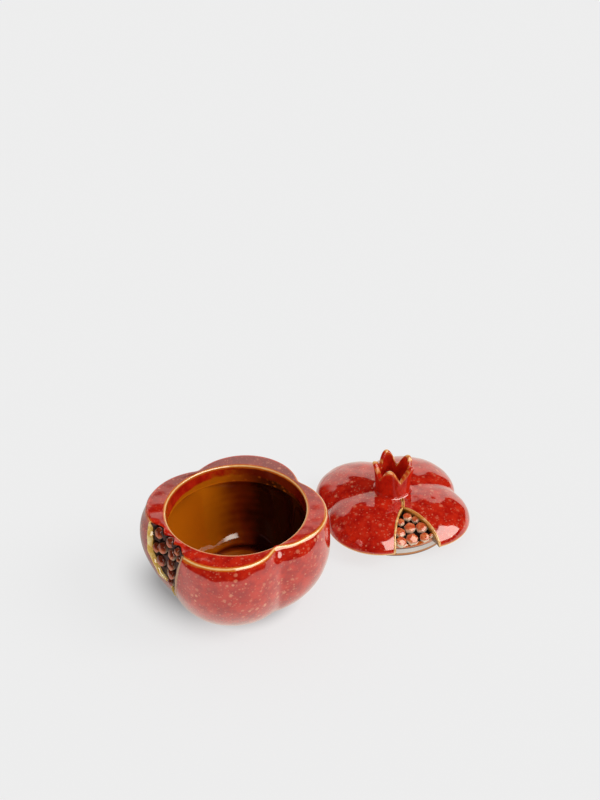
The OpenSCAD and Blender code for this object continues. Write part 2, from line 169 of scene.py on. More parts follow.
def lumps(seed: int, waves: Sequence[tuple[float, float]]) -> Callable[[float], float]:
    """Uneven thickness of a strip that was rolled by hand.

    Args:
        seed: Number that sets the phases.
        waves: Height and count of each wave.

    Returns:
        Function of the share along the strip.
    """
    rng = random.Random(seed)
    parts = [(height, count, rng.uniform(0, math.tau)) for height, count in waves]
    return lambda s: sum(height * math.sin(count * s + phase) for height, count, phase in parts)


@dataclass
class LobedPlan:
    """Plan of four circles that run into each other, which the rim and the lid share, in millimetres."""

    mouth_r: float = 38.5
    rim_crease_w: float = 3.0
    rim_lobe_w: float = 11.5
    crease_turn: float = 215.0
    crease_soft: float = 0.8
    lobes: int = 4
    reach: float = field(init=False)
    notch: float = field(init=False)
    offset: float = field(init=False)
    lobe_r: float = field(init=False)
    mean_r: float = field(init=False)
    lobe_turns: list[float] = field(init=False)
    centres: list[Point] = field(init=False)

    def __post_init__(self) -> None:
        """Work out the circles from the mouth and the two widths of the rim."""
        self.reach = self.mouth_r + self.rim_lobe_w
        self.notch = self.mouth_r + self.rim_crease_w
        across = 2 * (self.reach - self.notch * math.cos(math.pi / self.lobes))
        self.offset = (self.reach**2 - self.notch**2) / across
        self.lobe_r = self.reach - self.offset
        self.mean_r = (self.reach + self.notch) / 2
        self.lobe_turns = [self.crease_turn + (2 * i + 1) * 180 / self.lobes for i in range(self.lobes)]
        self.centres = [polar(lobe, self.offset, 0.0) for lobe in self.lobe_turns]

    def lobe_reach(self, turn: float) -> float:
        """Radius of one lobe's circle at a turn from the lobe's middle."""
        a = math.radians(turn)
        return self.offset * math.cos(a) + math.sqrt(self.lobe_r**2 - (self.offset * math.sin(a)) ** 2)

    def reach_at(self, turn: float, soft: float) -> float:
        """Radius of the outline at a turn in degrees, with creases of a given softness."""
        return soft_max([self.lobe_reach(turn - lobe) for lobe in self.lobe_turns], soft)

    def dome(self, x: float, y: float, height: float, soft: float) -> float:
        """Height at a place of four low domes that run into each other, with creases of a given softness."""
        away = [(x - at_x) ** 2 + (y - at_y) ** 2 for at_x, at_y, _ in self.centres]
        return soft_max([height * math.sqrt(max(0.0, 1 - far / self.lobe_r**2)) for far in away], soft)


PLAN = LobedPlan()


class Tree:
    """A small hand for building node trees."""

    def __init__(self, tree: bpy.types.NodeTree) -> None:
        """Take over a tree and empty it."""
        self.tree = tree
        self.tree.nodes.clear()

    def feed(self, node: bpy.types.Node, key: int | str, value: Any) -> None:
        """Set one input of a node to a value, or link it to an output socket."""
        if isinstance(value, Socket):
            self.tree.links.new(value, node.inputs[key])
        else:
            node.inputs[key].default_value = value

    def add(self, kind: str, inputs: dict[Any, Any] | None = None, **props: Any) -> bpy.types.Node:
        """Add a node, set its properties and set or link its inputs.

        Args:
            kind: The node's type name.
            inputs: Input name or index to a value or to an output socket.
            **props: Properties of the node.

        Returns:
            The new node.
        """
        column, row = len(self.tree.nodes) % 12, len(self.tree.nodes) // 12
        node = self.tree.nodes.new(kind)
        node.location = (180 * column, -260 * row)
        for name, value in props.items():
            setattr(node, name, value)
        for key, value in (inputs or {}).items():
            self.feed(node, key, value)
        return node

    def math(self, operation: str, a: Any, b: Any = 0.0, c: Any = 0.0) -> Socket:
        """Output of a math node on up to three values or sockets."""
        return self.add("ShaderNodeMath", {0: a, 1: b, 2: c}, operation=operation).outputs[0]

    def times(self, first: Any, *others: Any) -> Any:
        """Product of values or sockets, from left to right."""
        for other in others:
            first = self.math("MULTIPLY", first, other)
        return first

    def mix(self, factor: Any, a: Any, b: Any) -> Socket:
        """Output of a colour mix of two colours or sockets."""
        return self.add("ShaderNodeMix", {0: factor, 6: a, 7: b}, data_type="RGBA").outputs[2]

    def blend(self, factor: Any, a: Any, b: Any) -> Socket:
        """Output of a mix of two numbers or sockets."""
        return self.add("ShaderNodeMix", {0: factor, 2: a, 3: b}).outputs[0]

    def ramp(self, value: Any, low: Any, high: Any) -> Socket:
        """A value eased from 0 at low to 1 at high, held outside."""
        ends = {0: value, 1: low, 2: high, 3: 0.0, 4: 1.0}
        return self.add("ShaderNodeMapRange", ends, interpolation_type="SMOOTHSTEP").outputs[0]

    def band(self, value: Any, rise: tuple[float, float], fall: tuple[float, float]) -> Socket:
        """Mask of a band that is eased in over one range and out over another."""
        return self.times(self.ramp(value, *rise), self.ramp(value, *fall))

    def noise(self, where: Any, scale: Any, detail: float = 3.0, rough: float = 0.5) -> Socket:
        """Value of a noise texture at a place."""
        inputs = {"Vector": where, "Scale": scale, "Detail": detail, "Roughness": rough}
        return self.add("ShaderNodeTexNoise", inputs).outputs[0]

    def cells(self, where: Any, scale: Any) -> bpy.types.Node:
        """Cell texture at a place."""
        return self.add("ShaderNodeTexVoronoi", {"Vector": where, "Scale": scale, "Randomness": 1.0})

    def distance(self, where: Any, spot: Point) -> Socket:
        """Distance of a place from a fixed spot."""
        return self.add("ShaderNodeVectorMath", {0: where, 1: spot}, operation="DISTANCE").outputs["Value"]

    def attribute(self, name: str) -> Socket:
        """Value of a piece's own attribute."""
        return self.add("ShaderNodeAttribute", attribute_name=name).outputs["Fac"]

    def object_place(self) -> Socket:
        """Object coordinates."""
        return self.add("ShaderNodeTexCoord").outputs["Object"]


def new_group(name: str, inputs: dict[str, float | None], outputs: Sequence[str]) -> tuple[Tree, Any]:
    """Start a shader node group.

    Args:
        name: The group's name.
        inputs: Default of each float input; None makes a vector input.
        outputs: Names of the float outputs.

    Returns:
        The group's tree, and the sockets of its inputs by name.
    """
    group = bpy.data.node_groups.new(name, "ShaderNodeTree")
    for label, default in inputs.items():
        kind = "NodeSocketVector" if default is None else "NodeSocketFloat"
        socket = group.interface.new_socket(name=label, in_out="INPUT", socket_type=kind)
        if default is not None:
            socket.default_value = default
    for label in outputs:
        group.interface.new_socket(name=label, in_out="OUTPUT", socket_type="NodeSocketFloat")
    tree = Tree(group)
    return tree, tree.add("NodeGroupInput").outputs


class GlazeEffects:
    """Node groups that the glazes share: speckles, ragged edges and the skin of the glaze."""

    def __init__(self) -> None:
        """Build each group once."""
        self.speckle = self.build_speckle()
        self.ragged = self.build_ragged()
        self.skin = self.build_skin()

    @staticmethod
    def build_speckle() -> bpy.types.NodeTree:
        """Pale spots of uneven size and strength, some cells left empty.

        Returns:
            The group, with inputs Place, Scale and Share and output Mask.
        """
        t, given = new_group("glaze_speckle", {"Place": None, "Scale": 400.0, "Share": 0.5}, ["Mask"])
        wobble = t.add("ShaderNodeTexNoise", {"Vector": given["Place"], "Scale": 900.0, "Detail": 2.0})
        most = (0.0009, 0.0009, 0.0009)
        shift = t.add("ShaderNodeVectorMath", {0: wobble.outputs["Color"], 1: most}, operation="MULTIPLY")
        place = t.add("ShaderNodeVectorMath", {0: given["Place"], 1: shift.outputs[0]}, operation="ADD")
        cells = t.cells(place.outputs[0], given["Scale"])
        chance = t.add("ShaderNodeSeparateColor", {0: cells.outputs["Color"]}).outputs
        size = t.math("MULTIPLY_ADD", chance[0], 0.32, 0.16)
        spot = t.ramp(cells.outputs["Distance"], size, t.times(size, 0.45))
        kept = t.math("LESS_THAN", chance[1], given["Share"])
        strength = t.math("MULTIPLY_ADD", chance[2], 0.7, 0.3)
        t.add("NodeGroupOutput", {"Mask": t.times(spot, kept, strength)})
        return t.tree

    @staticmethod
    def build_ragged() -> bpy.types.NodeTree:
        """An edge mask frayed by noise, as glaze breaks over an edge.

        Returns:
            The group, with inputs Place, Edge, Scale and Fray and output Mask.
        """
        inputs = {"Place": None, "Edge": 0.0, "Scale": 300.0, "Fray": 0.5}
        t, given = new_group("glaze_break", inputs, ["Mask"])
        centred = t.math("SUBTRACT", t.noise(given["Place"], given["Scale"], 4.0), 0.5)
        moved = t.math("MULTIPLY_ADD", centred, given["Fray"], given["Edge"])
        t.add("NodeGroupOutput", {"Mask": t.ramp(moved, 0.3, 0.75)})
        return t.tree

    @staticmethod
    def build_skin() -> bpy.types.NodeTree:
        """Height of a fired glaze skin: slow waves, fine orange peel and a few pinholes.

        Returns:
            The group, with inputs Place and Peel and outputs Height and Cloud.
        """
        t, given = new_group("glaze_skin", {"Place": None, "Peel": 0.3}, ["Height", "Cloud"])
        slow = t.noise(given["Place"], 70.0, 2.0)
        fine = t.noise(given["Place"], 330.0, 3.0)
        pit = t.ramp(t.cells(given["Place"], 260.0).outputs["Distance"], 0.0, 0.14)
        waves = t.math("MULTIPLY_ADD", fine, given["Peel"], slow)
        t.add("NodeGroupOutput", {"Height": t.math("MULTIPLY_ADD", pit, 0.25, waves), "Cloud": slow})
        return t.tree


class GlazeTree(Tree):
    """Tree of a glaze, with the shared effects at hand, at the piece's own object coordinates."""

    def __init__(self, tree: bpy.types.NodeTree, effects: GlazeEffects) -> None:
        """Take over a material's tree.

        Args:
            tree: The material's tree.
            effects: The shared glaze effects.
        """
        super().__init__(tree)
        self.effects = effects
        self.place = self.object_place()

    def effect(self, group: bpy.types.NodeTree, **inputs: Any) -> bpy.types.Node:
        """Node of a shared effect."""
        return self.add("ShaderNodeGroup", {"Place": self.place, **inputs}, node_tree=group)

    def frayed(self, mark: str, scale: float, fray: float) -> Socket:
        """Mask of a mark whose edge is frayed by noise."""
        edge = self.attribute(mark)
        return self.effect(self.effects.ragged, Edge=edge, Scale=scale, Fray=fray).outputs[0]

    def specks(self, scale: float, share: float) -> Socket:
        """Mask of the speckles of one size."""
        return self.effect(self.effects.speckle, Scale=scale, Share=share).outputs[0]

    def patches(self, scale: float, detail: float, rough: float, low: float, high: float) -> Socket:
        """Mask of soft patches of noise."""
        return self.ramp(self.noise(self.place, scale, detail, rough), low, high)


@dataclass(frozen=True)
class Glaze:
    """What every glaze has: a coat of glass over its colour, with an uneven skin."""

    name: str
    roughness: float = 0.08
    coat: float = 1.0
    bump: float = 0.08
    specular: float = 0.5
    peel: float = 0.5
    ior: float = 1.5
    coat_ior: float = 1.55
    coat_roughness: float = 0.03
    skin_depth: float = 0.0006

    def build(self, effects: GlazeEffects) -> bpy.types.Material:
        """Make the material.

        Args:
            effects: The shared glaze effects.

        Returns:
            The material.
        """
        material = bpy.data.materials.new(self.name)
        material.use_nodes = True
        t = GlazeTree(material.node_tree, effects)
        shader = t.add("ShaderNodeBsdfPrincipled", {
            "Metallic": 0.0, "IOR": self.ior, "Specular IOR Level": self.specular, "Coat Weight": self.coat,
            "Coat Roughness": self.coat_roughness, "Coat IOR": self.coat_ior,
        })
        skin = t.effect(effects.skin, Peel=self.peel).outputs
        relief = {"Strength": self.bump, "Distance": self.skin_depth, "Height": skin["Height"]}
        t.feed(shader, "Normal", t.add("ShaderNodeBump", relief).outputs[0])
        t.feed(shader, "Roughness", t.math("MULTIPLY_ADD", skin["Cloud"], 0.08, self.roughness - 0.03))
        t.feed(shader, "Base Color", self.colour(t, skin["Cloud"]))
        self.calm(t, shader)
        t.add("ShaderNodeOutputMaterial", {"Surface": shader.outputs[0]})
        return material

    def colour(self, t: GlazeTree, cloud: Socket) -> Socket:
        """Colour of the glaze; each glaze says its own."""
        raise NotImplementedError

    def calm(self, t: GlazeTree, shader: bpy.types.Node) -> None:
        """Take gloss away where marks ask for it; a plain glaze has none of those."""


@dataclass(frozen=True)
class RedGlaze(Glaze):
    """Oxblood glaze with pale speckles that breaks cream on edges and runs amber inside; marks add painted
    shade.
    """

    deep: Colour = (0.40, 0.006, 0.003, 1.0)
    bright: Colour = (0.62, 0.024, 0.007, 1.0)
    speck: Colour = (0.80, 0.29, 0.16, 1.0)
    orange: Colour = (0.66, 0.14, 0.012, 1.0)
    cream: Colour = (0.90, 0.56, 0.22, 1.0)
    amber: Colour = (0.56, 0.145, 0.003, 1.0)
    # Amber darkened by painted shade, half and full
    shaded_russet: Colour = (0.22, 0.026, 0.003, 1.0)
    shaded_umber: Colour = (0.018, 0.002, 0.001, 1.0)
    bare: Colour = (0.62, 0.54, 0.45, 1.0)
    # Red darkened by painted shade
    shaded_red: Colour = (0.10, 0.003, 0.002, 1.0)

    def colour(self, t: GlazeTree, cloud: Socket) -> Socket:
        """Mottled red with speckles, amber inside darkened by painted shade, red darkened by painted shade
        where marked, and pale edges.

        Args:
            t: The material's tree.
            cloud: Slow waves of the skin.

        Returns:
            The colour.
        """
        red = t.mix(t.patches(190.0, 4.0, 0.6, 0.3, 0.7), self.deep, self.bright)
        # Painted shade darkens the red where marked
        red = t.mix(t.attribute("dim"), red, self.shaded_red)
        large = t.times(t.specks(290.0, 0.8), t.patches(60.0, 2.0, 0.5, 0.3, 0.6))
        spots = t.math("MAXIMUM", t.times(t.specks(620.0, 0.8), 0.6), large)
        thick = t.math("SUBTRACT", 1.0, t.attribute("bare_of_specks"))
        red = t.mix(t.times(spots, thick, 0.85), red, self.speck)
        # Painted shade of the inside, with slow mottling; it turns the amber russet, then near black
        mottled_shade = t.math("MULTIPLY_ADD", t.math("SUBTRACT", cloud, 0.5), 0.5, t.attribute("deep"))
        amber = t.mix(t.ramp(mottled_shade, 0.05, 0.55), self.amber, self.shaded_russet)
        amber = t.mix(t.ramp(mottled_shade, 0.4, 0.85), amber, self.shaded_umber)
        bubbles = t.ramp(t.cells(t.place, 300.0).outputs["Distance"], 0.45, 0.1)
        amber = t.mix(t.times(bubbles, t.attribute("bubbly"), 0.6), amber, self.orange)
        colour = t.mix(t.frayed("inside", 160.0, 0.7), red, amber)
        colour = t.mix(t.frayed("halo", 240.0, 0.8), colour, self.orange)
        colour = t.mix(t.frayed("edge", 420.0, 0.6), colour, self.cream)
        return t.mix(t.attribute("bare"), colour, self.bare)

    def calm(self, t: GlazeTree, shader: bpy.types.Node) -> None:
        """Take gloss away where the glaze is marked matte.

        Args:
            t: The material's tree.
            shader: The shader node.
        """
        matte = t.attribute("matte")
        t.feed(shader, "Coat Weight", t.math("SUBTRACT", self.coat, t.times(matte, 0.95)))
        t.feed(shader, "Specular IOR Level", t.math("SUBTRACT", self.specular, t.times(matte, 0.42)))


@dataclass(frozen=True)
class LipGlaze(Glaze):
    """Yellow-ochre glaze of the rind lips, browner where it is thin."""

    peel: float = 0.6
    ochre: Colour = (0.80, 0.50, 0.11, 1.0)
    pale: Colour = (0.98, 0.80, 0.36, 1.0)
    gold: Colour = (0.36, 0.155, 0.012, 1.0)
    brown: Colour = (0.05, 0.016, 0.006, 1.0)
    tan: Colour = (0.36, 0.12, 0.06, 1.0)
    honey: Colour = (0.70, 0.29, 0.05, 1.0)
    butter: Colour = (0.97, 0.64, 0.28, 1.0)

    def colour(self, t: GlazeTree, cloud: Socket) -> Socket:
        """Streaked ochre, or honey where marked warm, with a brown or golden inner wall.

        Args:
            t: The material's tree.
            cloud: Slow waves of the skin.

        Returns:
            The colour.
        """
        streak = t.patches(260.0, 4.0, 0.6, 0.4, 0.7)
        cool = t.mix(streak, self.ochre, self.pale)
        colour = t.mix(t.attribute("warm"), cool, t.mix(streak, self.honey, self.butter))
        colour = t.mix(t.ramp(cloud, 0.62, 0.8), colour, self.gold)
        colour = t.mix(t.attribute("dull"), colour, self.tan)
        wall = t.mix(t.attribute("golden"), self.brown, self.gold)
        return t.mix(t.frayed("low", 380.0, 0.8), colour, wall)


@dataclass(frozen=True)
class BedSlip(Glaze):
    """Dark slip between the seeds, slate where the glaze pools."""

    peel: float = 0.8
    dark: Colour = (0.010, 0.003, 0.002, 1.0)
    slate: Colour = (0.026, 0.013, 0.012, 1.0)
    brown: Colour = (0.05, 0.012, 0.007, 1.0)
    # Painted highlight on the ridges between the seeds
    ridge_highlight: Colour = (0.085, 0.044, 0.040, 1.0)

    def colour(self, t: GlazeTree, cloud: Socket) -> Socket:
        """Patches of dark and slate, with a painted highlight on the ridges between the seeds.

        Args:
            t: The material's tree.
            cloud: Slow waves of the skin.

        Returns:
            The colour.
        """
        colour = t.mix(t.patches(230.0, 4.0, 0.6, 0.46, 0.66), self.dark, self.slate)
        colour = t.mix(t.ramp(cloud, 0.55, 0.75), colour, self.brown)
        return t.mix(t.frayed("ridge", 420.0, 0.7), colour, self.ridge_highlight)


@dataclass(frozen=True)
class SeedGlaze(Glaze):
    """Red-orange glaze on top of a seed that runs out to cream at its sides."""

    red: Colour = (0.58, 0.075, 0.022, 1.0)
    orange: Colour = (0.76, 0.25, 0.085, 1.0)
    cream: Colour = (0.88, 0.72, 0.50, 1.0)
    grey: Colour = (0.58, 0.40, 0.29, 1.0)
    # Seed colour darkened by painted shade
    shaded_seed: Colour = (0.09, 0.006, 0.002, 1.0)

    def colour(self, t: GlazeTree, cloud: Socket) -> Socket:
        """Veined red top over cream sides, darkened by painted shade where marked.

        Args:
            t: The material's tree.
            cloud: Slow waves of the skin.

        Returns:
            The colour.
        """
        top = t.mix(t.patches(480.0, 4.0, 0.6, 0.4, 0.7), self.red, self.orange)
        side = t.mix(t.ramp(cloud, 0.35, 0.65), self.grey, self.cream)
        colour = t.mix(t.frayed("rise", 520.0, 0.8), side, top)
        return t.mix(t.attribute("dim"), colour, self.shaded_seed)


@dataclass(frozen=True)
class RingGlaze(Glaze):
    """Amber glaze of the locating ring, with a pale band of painted highlight on its outer face and painted
    shade at its foot.
    """

    amber: Colour = (0.30, 0.09, 0.010, 1.0)
    orange: Colour = (0.55, 0.19, 0.03, 1.0)
    brown: Colour = (0.12, 0.018, 0.007, 1.0)
    # Pale colour of the painted highlight band
    bare: Colour = (0.74, 0.69, 0.63, 1.0)

    def colour(self, t: GlazeTree, cloud: Socket) -> Socket:
        """Cloudy amber with an orange line, the painted highlight band and painted shade at the foot.

        Args:
            t: The material's tree.
            cloud: Slow waves of the skin.

        Returns:
            The colour.
        """
        colour = t.mix(t.ramp(cloud, 0.3, 0.7), self.brown, self.amber)
        colour = t.mix(t.frayed("low", 260.0, 0.4), colour, self.orange)
        # Pale band of painted highlight, then painted shade at the foot
        colour = t.mix(t.frayed("wiped", 300.0, 0.5), colour, self.bare)
        return t.mix(t.frayed("foot", 260.0, 0.5), colour, self.brown)


class Finishes:
    """All the finishes of the object, built once."""

    def __init__(self) -> None:
        """Build the shared effects and the materials."""
        effects = GlazeEffects()
        slip = BedSlip("dark_slip", bump=0.35, roughness=0.3, coat=0.0, specular=0.05)
        self.by_slot: dict[Slot, bpy.types.Material] = {
            Slot.RED: RedGlaze("oxblood_glaze").build(effects),
            Slot.AMBER: RingGlaze("ring_glaze").build(effects),
            Slot.LIP: LipGlaze("ochre_lip_glaze", bump=0.2).build(effects),
            Slot.BED: slip.build(effects),
            Slot.SEED: SeedGlaze("seed_glaze", bump=0.2, coat=0.6).build(effects),
        }


def press(bm: Form, marks: Sequence[str], place: Callable[[Vector], Placed]) -> None:
    """Move every point of a form to its place and give it its marks.

    Args:
        bm: The form.
        marks: Names of all the marks; those that a point is not given stay 0.
        place: Gives the place and marks of a point.
    """
    layers = {name: bm.verts.layers.float.new(name) for name in marks}
    for v in bm.verts:
        v.co, values = place(v.co)
        for name, value in values.items():
            v[layers[name]] = value


def seal(bm: Form, fill: bool = False, dist: float = MERGE) -> Form:
    """Merge the doubles of a form and turn its faces outwards.

    Args:
        bm: The form.
        fill: Whether open ends are closed.
        dist: Points closer than this are merged.

    Returns:
        The same form.
    """
    bmesh.ops.remove_doubles(bm, verts=bm.verts[:], dist=dist)
    if fill:
        bmesh.ops.holes_fill(bm, edges=[e for e in bm.edges if e.is_boundary], sides=0)
    bmesh.ops.recalc_face_normals(bm, faces=bm.faces[:])
    return bm


def turned(rows: int, steps: int, place: Callable[[int, float], Placed], marks: Sequence[str]) -> Form:
    """Spin a tube of rings about Z, then press every ring to its place.

    Args:
        rows: Count of rings.
        steps: Count of columns around.
        place: Gives the place and marks of a ring number and a turn in degrees.
        marks: Names of the marks kept on the mesh.

    Returns:
        The closed form, in millimetres.
    """
    bm = bmesh.new()
    verts = [bm.verts.new((1.0, 0.0, float(i))) for i in range(rows)]
    edges = [bm.edges.new(pair) for pair in zip(verts, verts[1:])]
    bmesh.ops.spin(
        bm, geom=verts + edges, cent=(0, 0, 0), axis=(0, 0, 1), dvec=(0, 0, 0), angle=math.tau, steps=steps,
        use_merge=True, use_duplicate=False,
    )
    press(bm, marks, lambda co: place(int(round(co.z)), math.degrees(math.atan2(co.y, co.x))))
    return seal(bm)


def sheet(cols: int, rows: int, place: Callable[[float, float], Placed], thick: float) -> Form:
    """Lay a grid over a surface and give it a thickness.

    Args:
        cols: Cells across.
        rows: Cells along.
        place: Gives the place and the ridge mark of a share across and a share along.
        thick: Thickness, in millimetres.

    Returns:
        The closed sheet, in millimetres.
    """
    bm = bmesh.new()
    bmesh.ops.create_grid(bm, x_segments=cols, y_segments=rows, size=0.5)
    press(bm, ["ridge"], lambda co: place(co.x + 0.5, co.y + 0.5))
    seal(bm)
    bmesh.ops.solidify(bm, geom=bm.faces[:], thickness=thick)
    return bm


def bead(along: int, around: int, place: Callable[[float, float], Placed]) -> Form:
    """Roll a strip into a lip's bead along a line, with both ends closed.

    Args:
        along: Cells along the line.
        around: Cells around the bead.
        place: Gives the place and marks of a share along and a turn around in degrees.

    Returns:
        The closed bead, in millimetres.
    """
    bm = bmesh.new()
    bmesh.ops.create_grid(bm, x_segments=along, y_segments=around, size=0.5)
    press(bm, LIP_MARKS, lambda co: place(co.x + 0.5, 360.0 * (co.y + 0.5)))
    return seal(bm, fill=True)


def mesh_of(bm: Form, name: str) -> bpy.types.Mesh:
    """Turn a form into a mesh.

    Args:
        bm: The form; it is freed.
        name: The mesh's name.

    Returns:
        The mesh.
    """
    mesh = bpy.data.meshes.new(name)
    bm.to_mesh(mesh)
    bm.free()
    return mesh


def put(name: str, data: Any) -> bpy.types.Object:
    """Put a new object into the scene.

    Args:
        name: The object's name.
        data: Its mesh, light or camera.

    Returns:
        The object.
    """
    thing = bpy.data.objects.new(name, data)
    bpy.context.scene.collection.objects.link(thing)
    return thing


@dataclass
class SeedShape:
    """A facetted pellet: a few uneven rings of corners under one skin, softened along its edges."""

    width: float = 7.1
    height: float = 3.2
    sunk: float = 0.6
    soft: float = 0.3
    merge: float = 1e-3
    # Corners, height and width of each ring, the last two as shares
    rings: tuple[tuple[int, float, float], ...] = (
        (6, 0.0, 0.94), (6, 0.42, 1.06), (6, 0.8, 0.94), (4, 1.0, 0.55),
    )

    def build(
        self, foot: Vector, across: Vector, normal: Vector, number: int, size: float, dim: float
    ) -> Form:
        """Make one seed that stands on its bed.

        Args:
            foot: Place on the bed.
            across: Direction across the bed.
            normal: Direction out of the bed.
            number: Number of the seed, which sets its uneven form.
            size: Share of the largest seed.
            dim: How strong the painted shade on the seed is.

        Returns:
            The seed, in millimetres.
        """
        rng = random.Random(number)
        up = normal.cross(across).normalized()
        spin = rng.uniform(0, math.tau)
        tall = self.height * (1 + size) / 2
        half = size * self.width / 2
        bm = bmesh.new()
        rise, dark = bm.verts.layers.float.new("rise"), bm.verts.layers.float.new("dim")
        for count, z, r in self.rings:
            for k in range(count):
                a = spin + math.tau * (k + rng.uniform(-0.13, 0.13)) / count
                reach = half * r * rng.uniform(0.95, 1.03)
                lift = z * tall * rng.uniform(0.92, 1.0) - (self.sunk if z == 0 else 0.0)
                here = foot + across * reach * math.cos(a) + up * reach * math.sin(a) + normal * lift
                bm.verts.new(here)
        bmesh.ops.convex_hull(bm, input=bm.verts[:])
        bmesh.ops.bevel(
            bm, geom=bm.edges[:], offset=self.soft * size, segments=3, profile=0.5, affect="EDGES", material=-1,
            clamp_overlap=True,
        )
        bmesh.ops.triangulate(bm, faces=[f for f in bm.faces if len(f.verts) > 4])
        seal(bm, dist=self.merge)
        for v in bm.verts:
            away = v.co - foot
            above = away.dot(up)
            share = away.dot(normal) / tall + 0.3 * above / half
            v[rise] = min(1.0, max(0.0, share - 0.06 + 0.25 * dim))
            # Painted shade, darkest on the seed's upper side
            v[dark] = dim * (0.2 + 1.8 * smooth((above / half + 0.35) / 0.9))
        return bm


SEED = SeedShape()


@dataclass
class Assembly:
    """What the pot and the lid share: dressing a form as a piece, and seeds that stand on a bed."""

    finishes: Finishes
    body: Body = Body.POT
    seeds: tuple[Point, ...] = ()
    seed_draw: int = 0
    # How strong the painted shade on the seeds is
    seed_shade: float = 0.0
    seed_grow: float = 1.0
    seed_step: float = 0.5

    def settle(self, co: Vector) -> Vector:
        """Place of a point in the frame: here the assembly stands at the origin."""
        return co

    def seed_place(self, number: int) -> tuple[float, float]:
        """Turn of a seed, counted from 0, and its place along the split."""
        raise NotImplementedError

    def on_bed(self, turn: float, along: float) -> Vector:
        """Point of the smooth seed bed."""
        raise NotImplementedError

    def seed_foot(self, turn: float, along: float) -> Vector:
        """Point that a seed stands on."""
        return self.on_bed(turn, along)

    def dress(self, bm: Form, node: str, slot: Slot, sharp: float) -> None:
        """Turn a form into a piece of the object.

        Args:
            bm: The form, in millimetres; it is freed.
            node: The CAD node that it stands for.
            slot: Its material slot.
            sharp: Edges over this angle in degrees stay sharp.
        """
        if bm.calc_volume(signed=True) < 0:
            bmesh.ops.reverse_faces(bm, faces=bm.faces[:])
        for v in bm.verts:
            v.co = self.settle(v.co)
        bmesh.ops.scale(bm, vec=(MM, MM, MM), verts=bm.verts[:])
        for f in bm.faces:
            f.smooth = True
        name = f"{node}_slip" if slot is Slot.BED else f"{node}_glazed"
        mesh = mesh_of(bm, name)
        mesh.set_sharp_from_angle(angle=math.radians(sharp))
        mesh.materials.append(self.finishes.by_slot[slot])
        piece = put(name, mesh)
        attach(piece, self.body.value)
        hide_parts(node)
        LOG.info("piece %s: %d faces", name, len(mesh.polygons))

    def build_seeds(self) -> None:
        """Make every seed on the bed."""
        step = self.seed_step
        for i, (_, _, size) in enumerate(self.seeds):
            turn, along = self.seed_place(i)
            across = (self.on_bed(turn + 1, along) - self.on_bed(turn - 1, along)).normalized()
            rise = (self.on_bed(turn, along + step) - self.on_bed(turn, along - step)).normalized()
            normal = across.cross(rise).normalized()
            foot, number = self.seed_foot(turn, along), self.seed_draw + i
            bm = SEED.build(foot, across, normal, number, self.seed_grow * size, self.seed_shade)
            self.dress(bm, f"{self.body.value}_seed_{i + 1:02d}", Slot.SEED, 60.0)


